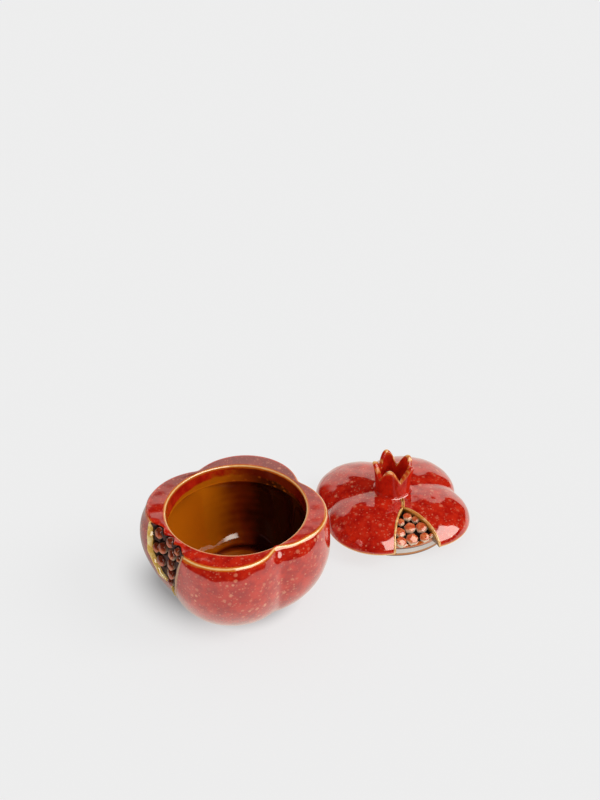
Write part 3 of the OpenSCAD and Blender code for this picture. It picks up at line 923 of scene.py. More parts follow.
@dataclass
class Pot(Assembly):
    """The pot: lobed shell, dark bed, rind lips and seeds, in millimetres."""

    seed_draw: int = 100
    # The pot's seeds get painted shade
    seed_shade: float = 0.45
    height: float = 57.0
    belly_z: float = 35.0
    belly_swell: float = 2.0
    belly_bend: float = 2.6
    low_lobing: float = 0.57
    foot_reach: float = 28.0
    foot_h: float = 2.0
    foot_w: float = 4.0
    foot_inset: float = 1.5
    floor_t: float = 4.0
    undercut: float = 5.5
    ledge_w: float = 0.8
    collar_h: float = 11.0
    vault_h: float = 9.0
    rim_round: float = 1.2
    pocket_round: float = 0.6
    mouth_round: float = 1.0
    lean: float = 11.0
    left: float = 29.0
    right: float = 11.0
    tip_z: float = 22.5
    tip_half_w: float = 0.9
    # Turns on both sides of the split's tip whose columns follow the split's sides
    ref_left: float = 30.0
    ref_right: float = 12.0
    bed_inset: float = 3.0
    bed_soft: float = 4.0
    bed_gap: float = 0.3
    lip_cells: tuple[int, int] = (110, 24)
    thick_w: float = 1.9
    thick_proud: float = 1.4
    thin_w: float = 1.4
    thin_proud: float = 0.6
    wave: float = 0.6
    waves: float = 2.5
    over: float = 1.0
    floor_share: float = 0.72
    flank_at: tuple[float, float] = (181.0, 40.0)
    flank_full: float = 2.6
    flank_w: tuple[float, float] = (17.0, 15.0)
    flank_end: Fade = Fade(56.5, -8.0)
    scallop_w: float = 3.2
    scallop_in: tuple[float, Fade] = (0.9, Fade(46.0, 7.0))
    scallop_out: tuple[float, Fade] = (1.6, Fade(52.0, 4.0))
    lean_in: Fade = Fade(48.0, 10.0)
    rough: tuple[float, float] = (8.0, 0.14)
    land_rough: tuple[float, float, float] = (7.0, 0.06, 0.24)
    # Depth, turn from the front right crease and width of each lean of the wall
    leans: tuple[Point, ...] = ((2.2, 0.0, 10.0), (1.4, 21.0, 10.0))
    # Thickness, turn from that crease, width, height and length of each drop of glaze
    drops: tuple[tuple[float, ...], ...] = ((0.9, 0.0, 2.6, 50.0, 3.4), (0.5, 24.0, 3.0, 51.5, 2.6))
    sheen_at: Point = (-5.7, 30.5, 9.5)
    sheen_r: float = 3.2
    # Turns that the zones face: painted shade inside, painted shade on the left outside, the painted highlight
    # on the rim's edge, the brown collar and painted shade on the collar
    shade_turn: float = 12.0
    left_shade_turn: float = 182.0
    rim_highlight_turn: float = 300.0
    back_turn: float = 92.0
    collar_shade_turn: float = 30.0
    # Where the glaze, its painted shade and its painted highlight change: on the outside and the rim, then down
    # the collar and inside
    left_shade: Fade = Fade(0.4, 0.5)
    pool_at: tuple[float, float] = (16.0, 6.0)
    pool_rise: Fade = Fade(53.5, 2.0)
    rim_glow: Fade = Fade(55.0, 0.9)
    rim_highlight: Fade = Fade(-0.75, 1.0)
    back_land_shade: Fade = Fade(-0.2, 0.9)
    collar_brown: Fade = Fade(0.0, 0.15)
    collar_amber: Fade = Fade(0.85, 0.35)
    collar_shade: Fade = Fade(2.0, 26.0)
    collar_bubbles: Fade = Fade(0.3, 0.3)
    back_bubbles: Fade = Fade(0.2, 2 / 3)
    shade_grow: Fade = Fade(-16.0, 46.0)
    floor_shade: Fade = Fade(0.72, 0.15)
    bed_ridge: Fade = Fade(0.2, 1.2)
    lip_start: Fade = Fade(0.0, 0.16)
    lip_end: Fade = Fade(0.8, 0.2)
    lip_low: Fade = Fade(0.1, -0.5)
    columns: int = 360
    # Share down the split, share across it and size of each seed
    seeds: tuple[Point, ...] = (
        (0.13, 0.19, 0.93), (0.11, 0.55, 0.92), (0.11, 0.82, 0.65), (0.39, 0.15, 0.84),
        (0.30, 0.34, 0.98), (0.235, 0.69, 0.86), (0.19, 0.91, 0.50), (0.58, 0.24, 0.95),
        (0.44, 0.69, 0.93), (0.62, 0.70, 0.95), (0.86, 0.48, 0.74),
    )

    @property
    def tip_turn(self) -> float:
        """Turn of the tip of the split."""
        return PLAN.crease_turn + self.lean

    @property
    def collar_z(self) -> float:
        """Height of the lower edge of the collar."""
        return self.height - self.collar_h

    @property
    def vault_z(self) -> float:
        """Height where the inside is widest."""
        return self.collar_z - self.vault_h

    @property
    def floor_z(self) -> float:
        """Height of the inside floor."""
        return self.foot_h + self.floor_t

    def swell(self, z: float) -> float:
        """Size of the body's plan at a height.

        Args:
            z: Height.

        Returns:
            The size as a share of the rim's.
        """
        foot, belly = self.foot_reach / PLAN.reach, (PLAN.reach + self.belly_swell) / PLAN.reach
        if z < self.belly_z:
            away = min(1.0, (self.belly_z - z) / (self.belly_z - self.foot_h))
            return foot + (belly - foot) * math.sqrt(1 - away * away)
        up = (z - self.belly_z) / (self.height - self.belly_z)
        return 1 + (belly - 1) * (1 - up**self.belly_bend)

    def lobing(self, z: float) -> float:
        """Share of the lobes that shows at a height; it is least at the foot."""
        return self.low_lobing + (1 - self.low_lobing) * smooth(z / self.belly_z)

    def body_r(self, turn: float, z: float, soft: float) -> float:
        """Radius of the body at a turn and a height, with creases of a given softness."""
        lobed = PLAN.mean_r + (PLAN.reach_at(turn, soft) - PLAN.mean_r) * self.lobing(z)
        return self.swell(z) * lobed + self.flank(turn, z)

    def flank(self, turn: float, z: float) -> float:
        """How much fuller the lobe on the left of the split is than the others."""
        (at_turn, at_z), (wide, tall) = self.flank_at, self.flank_w
        return self.flank_full * bump(turn - at_turn, wide) * bump(z - at_z, tall) * self.flank_end(z)

    def bed_r(self, turn: float, z: float) -> float:
        """Radius of the seed bed at a turn and a height."""
        return self.body_r(turn, z, self.bed_soft) - self.bed_inset

    def inside_r(self, turn: float) -> float:
        """Radius of the inside at its widest, which follows the lobes less."""
        share = (PLAN.reach_at(turn, PLAN.crease_soft) - PLAN.notch) / PLAN.rim_lobe_w
        return PLAN.mouth_r - self.ledge_w + (self.undercut + self.ledge_w) * share

    def split_z(self, down: float) -> float:
        """Height at a share of the way down the split."""
        return self.height + self.over - down * (self.height + self.over - self.tip_z)

    def split_down(self, z: float) -> float:
        """Share of the way down the split at a height."""
        return (self.height + self.over - z) / (self.height + self.over - self.tip_z)

    def split_open(self, down: float, side: Side) -> float:
        """Angle that the split opens to on one side of its tip.

        Args:
            down: Share of the way down.
            side: Side of the split.

        Returns:
            The angle in degrees.
        """
        tip = arc_angle(self.tip_half_w, PLAN.notch)
        if side is Side.RIGHT:
            return tip + self.right * (1 - min(1.0, down))
        wave = self.wave * math.sin(math.tau * self.waves * down) * smooth(1 - down)
        return tip + self.left * max(0.0, 1 - down * down) ** 0.38 + arc_angle(wave, PLAN.notch)

    def split_ends(self, down: float) -> tuple[float, float]:
        """Turns of both sides of the split at a share of the way down."""
        low, high = self.split_open(down, Side.LEFT), self.split_open(down, Side.RIGHT)
        return self.tip_turn - low, self.tip_turn + high

    def seed_place(self, number: int) -> tuple[float, float]:
        """Find a seed on the bed.

        Args:
            number: The seed, counted from 0.

        Returns:
            Its turn and height.
        """
        down, across, _ = self.seeds[number]
        low, high = self.split_ends(down)
        return low + across * (high - low), self.split_z(down)

    def scallop(self, turn: float, z: float) -> float:
        """Depth of the pockets that the top row of seeds lies in.

        Args:
            turn: Turn in degrees.
            z: Height.

        Returns:
            The depth, below 0 between the pockets.
        """
        away = [(turn - self.seed_place(i)[0]) * PLAN.notch * math.pi / 180 for i in range(3)]
        near = max(bump(far, self.scallop_w) for far in away)
        (deep, sink), (high, rise) = self.scallop_in, self.scallop_out
        return deep * near * sink(z) - high * (1 - near) * rise(z)

    def front_off(self, turn: float) -> float:
        """Turn away from the crease on the front right, from -180 to 180."""
        return (turn - PLAN.crease_turn - 90.0 + 180.0) % 360.0 - 180.0

    def fall(self, turn: float) -> float:
        """How far the wall leans in under the rim: most in the crease on the front right."""
        off = self.front_off(turn)
        return sum(deep * bump(off - at, wide) for deep, at, wide in self.leans)

    def drip(self, turn: float, z: float) -> float:
        """Drops of glaze that have gathered in and beside the crease on the front right."""
        off = self.front_off(turn)
        return sum(full * bump(off - at, wide) * bump(z - up, tall) for full, at, wide, up, tall in self.drops)

    def floor_r(self, turn: float, z: float) -> float:
        """Radius of the bed's face, with its pockets, kept outside the mouth."""
        return max(self.bed_r(turn, z) - self.scallop(turn, z), PLAN.mouth_r + self.mouth_round + 0.9)

    def on_bed(self, turn: float, along: float) -> Vector:
        """Point of the smooth seed bed at a turn and a height."""
        return Vector(polar(turn, self.bed_r(turn, along), along))

    def seed_foot(self, turn: float, along: float) -> Vector:
        """Point of the bed's face, with its pockets, at a turn and a height."""
        return Vector(polar(turn, self.floor_r(turn, along), along))

    def column_turn(self, u: float, z: float) -> float:
        """Turn of a column at a height: columns are drawn along the sides of the split.

        Args:
            u: The column's own turn from the split's tip, from -180 to 180.
            z: Height.

        Returns:
            The turn in degrees.
        """
        ref_l, ref_r = self.ref_left, self.ref_right
        down = min(1.0, max(0.0, self.split_down(z)))
        fade = smooth((self.tip_z - z) / 14.0)
        open_l = self.split_open(down, Side.LEFT) * (1 - fade) + ref_l * fade
        open_r = self.split_open(down, Side.RIGHT) * (1 - fade) + ref_r * fade
        if -ref_l <= u <= 0:
            return self.tip_turn + u / ref_l * open_l
        if 0 < u <= ref_r:
            return self.tip_turn + u / ref_r * open_r
        if u < 0:
            return self.tip_turn + u + (ref_l - open_l) * (1 - smooth((-ref_l - u) / 60.0))
        return self.tip_turn + u - (ref_r - open_r) * (1 - smooth((u - ref_r) / 45.0))

    def shade(self, turn: float, r: float) -> float:
        """Painted shade of the inside glaze, which grows darker to the back right."""
        return self.shade_grow(r * cosd(turn - self.shade_turn))

    def stations(self) -> list[tuple[Zone, float, float]]:
        """Rings of the shell, from under the foot over the rim to the inside floor.

        Returns:
            Zone and two numbers of each ring.
        """
        foot_plan = PLAN.mean_r + (PLAN.notch - PLAN.mean_r) * self.low_lobing
        out = self.foot_reach / PLAN.reach * foot_plan - self.foot_inset
        inn, top, near = out - self.foot_w, self.foot_h, self.foot_h - 0.4
        foot = (
            (0.0, top), (inn * 0.6, top), (inn - 0.5, top), (inn - 0.05, near), (inn, 0.6), (inn + 0.5, 0.0),
            (out - 0.5, 0.0), (out, 0.5), (out, near), (out + 0.4, top),
        )
        rows = [(Zone.FOOT, r, z) for r, z in foot]
        below, above = self.belly_z - self.foot_h, self.height - self.rim_round - self.belly_z
        heights = [self.belly_z - below * math.cos(a) for a in quarter(26, 0)]
        heights += [self.belly_z + above * i / 28 for i in range(1, 29)]
        rows += [(Zone.OUTSIDE, z, 0.0) for z in heights]
        rows += [(Zone.RIM, a, 0.0) for a in quarter(6)]
        rows += [(Zone.LAND, s, 0.0) for s in (0.1, 0.25, 0.4, 0.55, 0.7, 0.85, 0.95)]
        rows += [(Zone.MOUTH, a, 0.0) for a in quarter(5, 0)]
        start, drop = self.height - self.mouth_round, self.collar_h - self.mouth_round
        rows += [(Zone.COLLAR, s, start - drop * s) for s in (i / 12 for i in range(1, 13))]
        rows += [(Zone.LEDGE, 0.08, 0.15), (Zone.LEDGE, 0.16, 0.6)]
        rows += [(Zone.VAULT, a, 0.0) for a in quarter(10)]
        rows += [(Zone.BOWL, a, 0.0) for a in quarter(44)]
        rows += [(Zone.FLOOR, s, 0.0) for s in (0.9, 0.78, 0.74, 0.7, 0.55, 0.4, 0.2, 0.0)]
        return rows

    def outer(self, u: float, z: float) -> tuple[float, float, bool]:
        """Where a column of the outside runs at a height.

        Args:
            u: The column's own turn from the split's tip.
            z: Height.

        Returns:
            Turn, radius and whether the column lies in the pocket of the split.
        """
        turn = self.column_turn(u, z)
        if -self.ref_left < u < self.ref_right and z > self.tip_z + 0.3:
            return turn, self.floor_r(turn, z) - self.bed_gap, True
        return turn, self.body_r(turn, z, PLAN.crease_soft), False

    def outside_point(self, u: float, z: float) -> Placed:
        """Point of the outside wall, with painted shade on the left flank and amber pools under the rim.

        Args:
            u: The column's own turn from the split's tip.
            z: Height.

        Returns:
            Place and marks.
        """
        turn, r, pocket = self.outer(u, z)
        at, wide = self.pool_at
        halo = max(0.7 * self.rim_glow(z), 0.85 * bump(u - at, wide) * self.pool_rise(z))
        # Painted shade on the left flank
        dim = 0.4 * self.left_shade(cosd(turn - self.left_shade_turn))
        if not pocket:
            r += uneven(polar(turn, r, z), *self.rough)
            r -= self.fall(turn) * self.lean_in(z) - self.drip(turn, z)
        return polar(turn, r, z), {"halo": halo, "dim": dim}

    def rim_point(self, zone: Zone, u: float, a: float) -> Placed:
        """Point of the rounded rim, whose pale edge has a painted highlight in front, or of the flat land
        inside it, with painted shade at its back.

        Args:
            zone: RIM or LAND.
            u: The column's own turn from the split's tip.
            a: Angle on the round, or share of the way across the land.

        Returns:
            Place and marks.
        """
        turn, r, pocket = self.outer(u, self.height)
        curve, fall = (self.pocket_round, 0.0) if pocket else (self.rim_round, self.fall(turn))
        if zone is Zone.RIM:
            # The edge breaks pale all round; making it and its halo palest toward the front right is a painted
            # highlight
            front = 0.35 + 0.65 * self.rim_highlight(cosd(turn - self.rim_highlight_turn))
            edge = 0.0 if pocket else front * (1.0 - abs(a - 0.75) / 0.75)
            r -= fall * (0.88 + 0.1 * a) + curve * (1 - math.cos(a))
            z = self.height - curve * (1 - math.sin(a))
            return polar(turn, r, z), {"edge": edge, "halo": 0.3 if pocket else 0.8 * front}
        marks = {"halo": 0.6 * bump(a - 1.0, 0.08), "bare_of_specks": 0.35}
        # Painted shade on the back of the land
        marks["dim"] = 0.65 * self.back_land_shade(math.sin(math.radians(turn)))
        start, end = r - curve - 1.04 * fall, PLAN.mouth_r + self.mouth_round
        turn, r = turn + (self.tip_turn + u - turn) * a, start + (end - start) * a
        size, even, more = self.land_rough
        lift = 4 * a * (1 - a) * uneven(polar(turn, r, 0.0), size, even + more * bump(u + 8.0, 34.0))
        return polar(turn, r, self.height + lift), marks

    def mouth_point(self, zone: Zone, turn: float, a: float, b: float) -> Placed:
        """Point of the mouth's pale edge, of the collar under it or of the ledge below, with painted shade on
        the collar and the ledge.

        Args:
            zone: MOUTH, COLLAR or LEDGE.
            turn: Turn in degrees.
            a: Angle on the edge, share of the way down the collar, or depth of the ledge.
            b: Height on the collar, or drop of the ledge.

        Returns:
            Place and marks.
        """
        if zone is Zone.MOUTH:
            r = PLAN.mouth_r + self.mouth_round * (1 - math.sin(a))
            z = self.height - self.mouth_round * (1 - math.cos(a))
            return polar(turn, r, z), {"edge": 1.0 - abs(a - 0.8) / 0.85, "halo": 1.0}
        marks = {"bare_of_specks": 1.0}
        # Painted shade, darker to the back right, for the collar and the ledge
        shade = self.shade(turn, PLAN.mouth_r)
        if zone is Zone.LEDGE:
            marks |= {"inside": 1.0, "matte": 0.85, "halo": 0.2, "deep": 0.3 + 0.6 * shade}
            return polar(turn, PLAN.mouth_r - a, self.collar_z - b), marks
        back = max(0.0, cosd(turn - self.back_turn))
        brown = 0.38 * back * back
        amber = (0.85 - brown) * self.collar_amber(a + 0.43 * back)
        marks |= {
            "matte": 0.6,
            "inside": 0.1 + brown * self.collar_brown(a) + amber,
            # Painted shade darkens the collar's red to the right
            "dim": 0.9 * self.collar_shade(PLAN.mouth_r * cosd(turn - self.collar_shade_turn)),
            "halo": 0.8 * bump(a, 0.1),
            "bubbly": self.collar_bubbles(a) * self.back_bubbles(back),
            "deep": 0.75 * shade,
        }
        return polar(turn, PLAN.mouth_r, b), marks

    def bowl_point(self, zone: Zone, turn: float, a: float) -> Placed:
        """Point of the inside under the ledge, with painted shade to the back right and at the floor's edge,
        throwing rings and one glossy spot.

        Args:
            zone: VAULT, BOWL or FLOOR.
            turn: Turn in degrees.
            a: Angle on the vault or the bowl, or share of the floor's radius.

        Returns:
            Place and marks.
        """
        wide, floor_z, vault_z = self.inside_r(turn), self.floor_z, self.vault_z
        marks = {"bare_of_specks": 1.0, "inside": 1.0, "matte": 0.85}
        if zone is Zone.VAULT:
            marks["deep"] = self.shade(turn, wide)
            r = PLAN.mouth_r + (wide - PLAN.mouth_r) * math.sin(a)
            return polar(turn, r, vault_z + (self.collar_z - 0.7 - vault_z) * math.cos(a)), marks
        if zone is Zone.BOWL:
            r = wide * (self.floor_share + (1 - self.floor_share) * math.cos(a))
            here = polar(turn, r, vault_z - (vault_z - floor_z) * math.sin(a))
            marks["deep"] = self.shade(turn, r) + 0.025 * math.sin(here[2] / 0.8)
            marks["matte"] = 0.95 * smooth(math.dist(here, self.sheen_at) / self.sheen_r - 1.0)
            return here, marks
        r = wide * self.floor_share * a
        # Painted shade, deepest at the floor's edge
        marks["deep"] = 0.5 * self.shade(turn, r) + 0.6 * self.floor_shade(a)
        ring = 0.35 * bump(a - 0.74, 0.06)
        return polar(turn, r, floor_z - 0.3 * (1 - a) + ring), marks

    def build_shell(self) -> None:
        """Make the lobed shell with the pocket of its split."""
        rows = self.stations()

        def place(row: int, column: float) -> Placed:
            """Find a point of the shell.

            Args:
                row: Number of the ring.
                column: Its own turn from the split's tip.

            Returns:
                Place and marks.
            """
            zone, a, b = rows[row]
            u = float(round(column))
            turn = self.tip_turn + u
            if zone is Zone.FOOT:
                return polar(turn, a, b), {"bare": 1.0 if b < 0.3 else 0.0}
            if zone is Zone.OUTSIDE:
                return self.outside_point(u, a)
            if zone in (Zone.RIM, Zone.LAND):
                return self.rim_point(zone, u, a)
            if zone in (Zone.MOUTH, Zone.COLLAR, Zone.LEDGE):
                return self.mouth_point(zone, turn, a, b)
            return self.bowl_point(zone, turn, a)

        self.dress(turned(len(rows), self.columns, place, SHELL_MARKS), "pot_shell", Slot.RED, 48.0)

    def build_bed(self) -> None:
        """Make the dark slip that lines the split, dented between the seeds."""
        spots = [(*self.seed_place(i), seed[2]) for i, seed in enumerate(self.seeds)]
        side = arc_angle(0.5, PLAN.notch)

        def place(s: float, t: float) -> Placed:
            """Find a point of the bed.

            Args:
                s: Share across.
                t: Share along.

            Returns:
                Place and the ridge mark.
            """
            z = min(self.split_z(0.965 * math.sin(HALF_PI * t)), self.height - 0.35)
            low, high = self.split_ends(self.split_down(z))
            low, high = low + side, high - side
            turn = low + s * (high - low)
            away = [math.hypot((turn - a) * 0.78, z - b) - 3.4 * size for a, b, size in spots]
            between = self.bed_ridge(min(away))
            r = self.floor_r(turn, z) + 0.9 * between - 0.1
            # The ridge mark carries a painted highlight
            return polar(turn, r, z), {"ridge": 0.62 * between}

        self.dress(sheet(56, 64, place, 0.5), "pot_split_bed", Slot.BED, 80.0)

    def build_lip(self, side: Side) -> None:
        """Make one rind lip, a bead from the bed to above the glaze.

        Args:
            side: Side of the split.
        """
        width, proud, seed, dull = (
            (self.thick_w, self.thick_proud, 7, 0.0) if side is Side.LEFT
            else (self.thin_w, self.thin_proud, 8, 0.85)
        )
        lump_at = lumps(seed, ((0.16, 19), (0.1, 41)))

        def place(s: float, around: float) -> Placed:
            """Find a point of the lip.

            Args:
                s: Share along.
                around: Turn around the bead.

            Returns:
                Place and marks.
            """
            down = math.sin(HALF_PI * s)
            z = min(self.split_z(down), self.height + 0.25)
            open_to = self.split_open(down, side)
            lump, slim = lump_at(s), 0.5 + 0.5 * self.lip_start(s)
            w = min(width * slim * (1 + 0.6 * lump), math.radians(open_to) * PLAN.notch)
            middle = self.tip_turn + side.value * (open_to - arc_angle(w / 2 - 0.25, PLAN.notch))
            rise = proud * slim * (1 + lump) * (1 - 0.5 * self.lip_end(down))
            top = self.body_r(middle, z, PLAN.crease_soft) + rise
            foot = max(self.bed_r(middle, z) - 0.8, top - 1.6 - 1.1 * (self.height - z))
            flat, tall = oval(around)
            low = self.lip_low(tall) if flat * side.value < LIP_TURN else 0.0
            turn = middle + arc_angle(w * 0.62 * flat, PLAN.notch)
            r = (top + foot) / 2 + (top - foot) / 2 * tall
            return polar(turn, r, z), {"low": low, "dull": dull, "golden": 0.1}

        self.dress(bead(*self.lip_cells, place), f"pot_lip_{side.name.lower()}", Slot.LIP, 70.0)

    def build(self) -> None:
        """Make all the pot's pieces."""
        self.build_shell()
        self.build_bed()
        for side in Side:
            self.build_lip(side)
        self.build_seeds()


@dataclass
class Lid(Assembly):
    """The lid: lobed dome, locating ring and split with its bed, lips and seeds, in millimetres."""

    body: Body = Body.LID
    seed_draw: int = 200
    seed_grow: float = 1.08
    seed_step: float = -0.5
    x: float = 92.0
    y: float = 62.0
    turn: float = 68.0
    dome_h: float = 14.0
    ring_h: float = 9.0
    ring_w: float = 3.5
    ring_in_round: float = 1.2
    ring_out_round: float = 1.6
    clearance: float = 0.5
    hollow_h: float = 7.5
    edge_round: float = 0.6
    dome_soft: float = 0.5
    bed_inset: float = 4.5
    bed_t: float = 0.8
    bed_soft: float = 2.0
    bed_reach: float = 2.75
    bed_gap: float = 0.4
    shift: float = 2.5
    half: float = 17.0
    # Turn on each side of the split's middle whose columns follow the split's sides
    ref: float = 18.0
    open_r: float = 18.0
    parted_r: float = 19.5
    stem_lean: float = 9.0
    deep_r: float = 24.0
    tip_half_w: float = 0.9
    lip_cells: tuple[int, int] = (96, 24)
    lip_w: float = 1.4
    lip_proud: float = 0.6
    crown_r: float = 11.0
    crown_sink: float = 0.5
    rough: tuple[float, float] = (8.0, 0.3)
    # Where forms and glaze change, and the ring's painted highlight and shade: up the dome, at its edge, on the
    # ring, at the bed's front and round a lip
    rough_in: Fade = Fade(10.0, 4.0)
    bed_glow: Fade = Fade(-2.0, 0.8)
    edge_pale: Fade = Fade(1.4, -0.8)
    edge_glow: Fade = Fade(2.6, -2.0)
    ring_line: tuple[float, float] = (2.3, 1.0)
    highlight_from: Fade = Fade(2.7, 0.5)
    highlight_to: Fade = Fade(6.3, -0.5)
    ring_foot_shade: Fade = Fade(1.6, -0.9)
    bed_front: Fade = Fade(0.94, 0.06)
    lip_low: Fade = Fade(0.8, -0.4)
    lip_gold: Fade = Fade(-0.2, 0.6)
    columns: int = 360
    # Share out along the split, share aside from its middle and size of each seed
    seeds: tuple[Point, ...] = (
        (0.275, 0.15, 0.75), (0.415, -0.62, 0.66), (0.42, 0.67, 0.62), (0.605, -0.04, 0.94),
        (0.69, 0.63, 0.94), (0.71, -0.70, 0.87), (0.865, -0.10, 0.97), (0.93, 0.53, 0.78),
        (0.935, -0.68, 0.90), (0.96, 0.86, 0.36),
    )

    @property
    def split_turn(self) -> float:
        """Turn of the middle of the split."""
        return PLAN.crease_turn + self.shift

    @property
    def ring_r(self) -> float:
        """Outer radius of the locating ring."""
        return PLAN.mouth_r - self.clearance

    @property
    def bed_end_r(self) -> float:
        """Radius of the front edge of the seed bed."""
        return self.ring_r + self.bed_reach

    @property
    def start_r(self) -> float:
        """Radius where the split starts, beside the crown."""
        return self.crown_r + 1.2

    @property
    def gap_r(self) -> float:
        """Radius of the crown's seat."""
        return self.crown_r - 0.6

    @property
    def seat_z(self) -> float:
        """Height of the crown's seat."""
        return self.ring_h + PLAN.dome(0, 0, self.dome_h, self.dome_soft) - self.crown_sink

    def settle(self, co: Vector) -> Vector:
        """Set a point of the lid down where the lid lies.

        Args:
            co: The point in the lid's own frame.

        Returns:
            Its place.
        """
        a = math.radians(self.turn)
        c, s = math.cos(a), math.sin(a)
        return Vector((self.x + c * co.x - s * co.y, self.y + s * co.x + c * co.y, co.z))

    def dome_z(self, turn: float, r: float, soft: float) -> float:
        """Height of the dome at a turn and a radius."""
        x, y, _ = polar(turn, r, 0)
        return self.ring_h + PLAN.dome(x, y, self.dome_h, soft)

    def sunk(self, r: float) -> float:
        """Share of its full depth that the seed bed has at a radius."""
        return smooth((r - self.start_r) / (self.deep_r - self.start_r))

    def bed_z(self, turn: float, r: float) -> float:
        """Height of the seed bed at a turn and a radius."""
        depth = self.bed_t + (self.bed_inset - self.bed_t) * self.sunk(r)
        return max(self.ring_h + self.bed_t + self.edge_round, self.dome_z(turn, r, self.bed_soft) - depth)

    def on_bed(self, turn: float, along: float) -> Vector:
        """Point of the seed bed at a turn and a radius."""
        return Vector(polar(turn, along, self.bed_z(turn, along)))

    def split_open(self, r: float, start: float) -> float:
        """Half of the angle that a split from a start radius opens to at a radius."""
        away = min(1.0, max(0.0, (PLAN.notch - r) / (PLAN.notch - start)))
        return arc_angle(self.tip_half_w, r) + self.half * (1 - away * away) ** 0.55

    def split_middle(self, r: float) -> float:
        """Turn of the middle of the split at a radius; the closed part beside the crown leans."""
        return self.split_turn + self.stem_lean * smooth((self.parted_r - r) / 8.0)

    def column_turn(self, u: float, r: float) -> float:
        """Turn of a column at a radius: columns are drawn along the sides of the split.

        Args:
            u: The column's own turn from the split's middle, from -180 to 180.
            r: Radius.

        Returns:
            The turn in degrees.
        """
        open_to = self.split_open(max(r, self.start_r), self.parted_r)
        fade = smooth((self.start_r - r) / 6.0)
        open_to = open_to * (1 - fade) + self.ref * fade
        lean = self.split_middle(r) - self.split_turn
        if abs(u) <= self.ref:
            return self.split_turn + lean + u / self.ref * open_to
        near = 1 - smooth((abs(u) - self.ref) / 50.0)
        return self.split_turn + lean * near + math.copysign(abs(u) - (self.ref - open_to) * near, u)

    def rim_r(self, turn: float, pocket: bool) -> float:
        """Radius of the lid's edge, or of the bed's where a column lies in the split."""
        return self.bed_end_r if pocket else PLAN.reach_at(turn, PLAN.crease_soft)

    def dome_point(self, u: float, a: float, reach: float) -> Placed:
        """Point of the dome or of the pocket of its split.

        Args:
            u: The column's own turn from the split's middle.
            a: Share of the way from the crown's seat to the edge.
            reach: Radius of the edge.

        Returns:
            Place and marks.
        """
        pocket, gap_r = abs(u) < self.ref, self.gap_r
        r = gap_r + (reach - gap_r) * a
        turn = self.column_turn(u, r)
        if not pocket:
            r = gap_r + (self.rim_r(turn, False) - gap_r) * a
        if pocket and r > self.start_r:
            z = max(self.bed_z(turn, r) - self.bed_gap, self.ring_h + self.edge_round)
            return polar(turn, r, z), {"halo": 0.9 * self.bed_glow(r - self.bed_end_r)}
        z = self.dome_z(turn, r, self.dome_soft)
        z += uneven(polar(turn, r, 40.0), *self.rough) * self.rough_in(z)
        z = max(z, self.ring_h + self.edge_round)
        up = z - self.ring_h
        return polar(turn, r, z), {"edge": 0.75 * self.edge_pale(up), "halo": 0.85 * self.edge_glow(up)}

    def build_shell(self) -> None:
        """Make the lobed dome with its hollow and its split."""
        inner_r = self.ring_r - self.ring_w
        rows: list[tuple[Zone, float]] = [(Zone.HOLLOW, a) for a in quarter(10, 0)]
        rows += [(Zone.UNDER, s) for s in (0.35, 0.7, 1.0)]
        rows += [(Zone.EDGE, a) for a in quarter(4)[:-1]]
        rows += [(Zone.DOME, math.cos(a)) for a in quarter(46, 0)[:-1]]
        rows += [(Zone.SEAT, s) for s in (0.0, 0.5, 1.0)]

        def place(row: int, column: float) -> Placed:
            """Find a point of the shell.

            Args:
                row: Number of the ring.
                column: Its own turn from the split's middle.

            Returns:
                Place and marks.
            """
            zone, a = rows[row]
            u = float(round(column))
            plain, pocket = self.split_turn + u, abs(u) < self.ref
            if zone is Zone.HOLLOW:
                here = polar(plain, inner_r * math.sin(a), self.ring_h + self.hollow_h * math.cos(a))
                return here, {"inside": 1.0, "bare_of_specks": 1.0}
            if zone is Zone.SEAT:
                edge_z = self.dome_z(plain, self.gap_r, self.dome_soft)
                return polar(plain, self.gap_r * (1 - a), edge_z * (1 - a) + (self.seat_z - 1) * a), {}
            end_turn = self.column_turn(u, PLAN.notch)
            reach = self.rim_r(end_turn, pocket)
            if zone is Zone.DOME:
                return self.dome_point(u, a, reach)
            if zone is Zone.UNDER:
                r = inner_r + (reach - self.edge_round - inner_r) * a
                here = polar(plain + (end_turn - plain) * a, r, self.ring_h)
                return here, {"inside": 1.0 - 0.6 * a, "bare_of_specks": 1.0}
            r = reach - self.edge_round * (1 - math.sin(a))
            here = polar(end_turn, r, self.ring_h + self.edge_round * (1 - math.cos(a)))
            return here, {"edge": 0.3 if pocket else 0.95, "halo": 1.0}

        self.dress(turned(len(rows), self.columns, place, SHELL_MARKS), "lid_shell", Slot.RED, 48.0)

    def build_ring(self) -> None:
        """Turn the locating ring with rounded edges, its painted highlight band and painted shade at its foot.
        """
        inner, outer, top = self.ring_r - self.ring_w, self.ring_r, self.ring_h
        (small, large), (line_z, line_w) = (self.ring_in_round, self.ring_out_round), self.ring_line
        profile = [(inner, top), (inner, 5.0), (inner, large)]
        profile += [(inner + small * (1 - math.cos(a)), small * (1 - math.sin(a))) for a in quarter(6)]
        profile += [(outer - large + large * math.sin(a), large * (1 - math.cos(a))) for a in quarter(7, 0)]
        profile += [(outer, large + (top - large) * i / 14) for i in range(1, 15)]

        def place(row: int, column: float) -> Placed:
            """Find a point of the ring.

            Args:
                row: Number of the ring of points.
                column: Its turn.

            Returns:
                Place and marks.
            """
            r, z = profile[row % len(profile)]
            out = 1.0 if r > outer - large - 0.1 else 0.0
            # Marks: an orange line, a pale band of painted highlight and painted shade at the foot
            return polar(column, r, z), {
                "low": out * bump(z - line_z, line_w),
                "wiped": out * self.highlight_from(z) * self.highlight_to(z),
                "foot": self.ring_foot_shade(z),
            }

        self.dress(turned(len(profile) + 1, 180, place, RING_MARKS), "lid_ring", Slot.AMBER, 60.0)

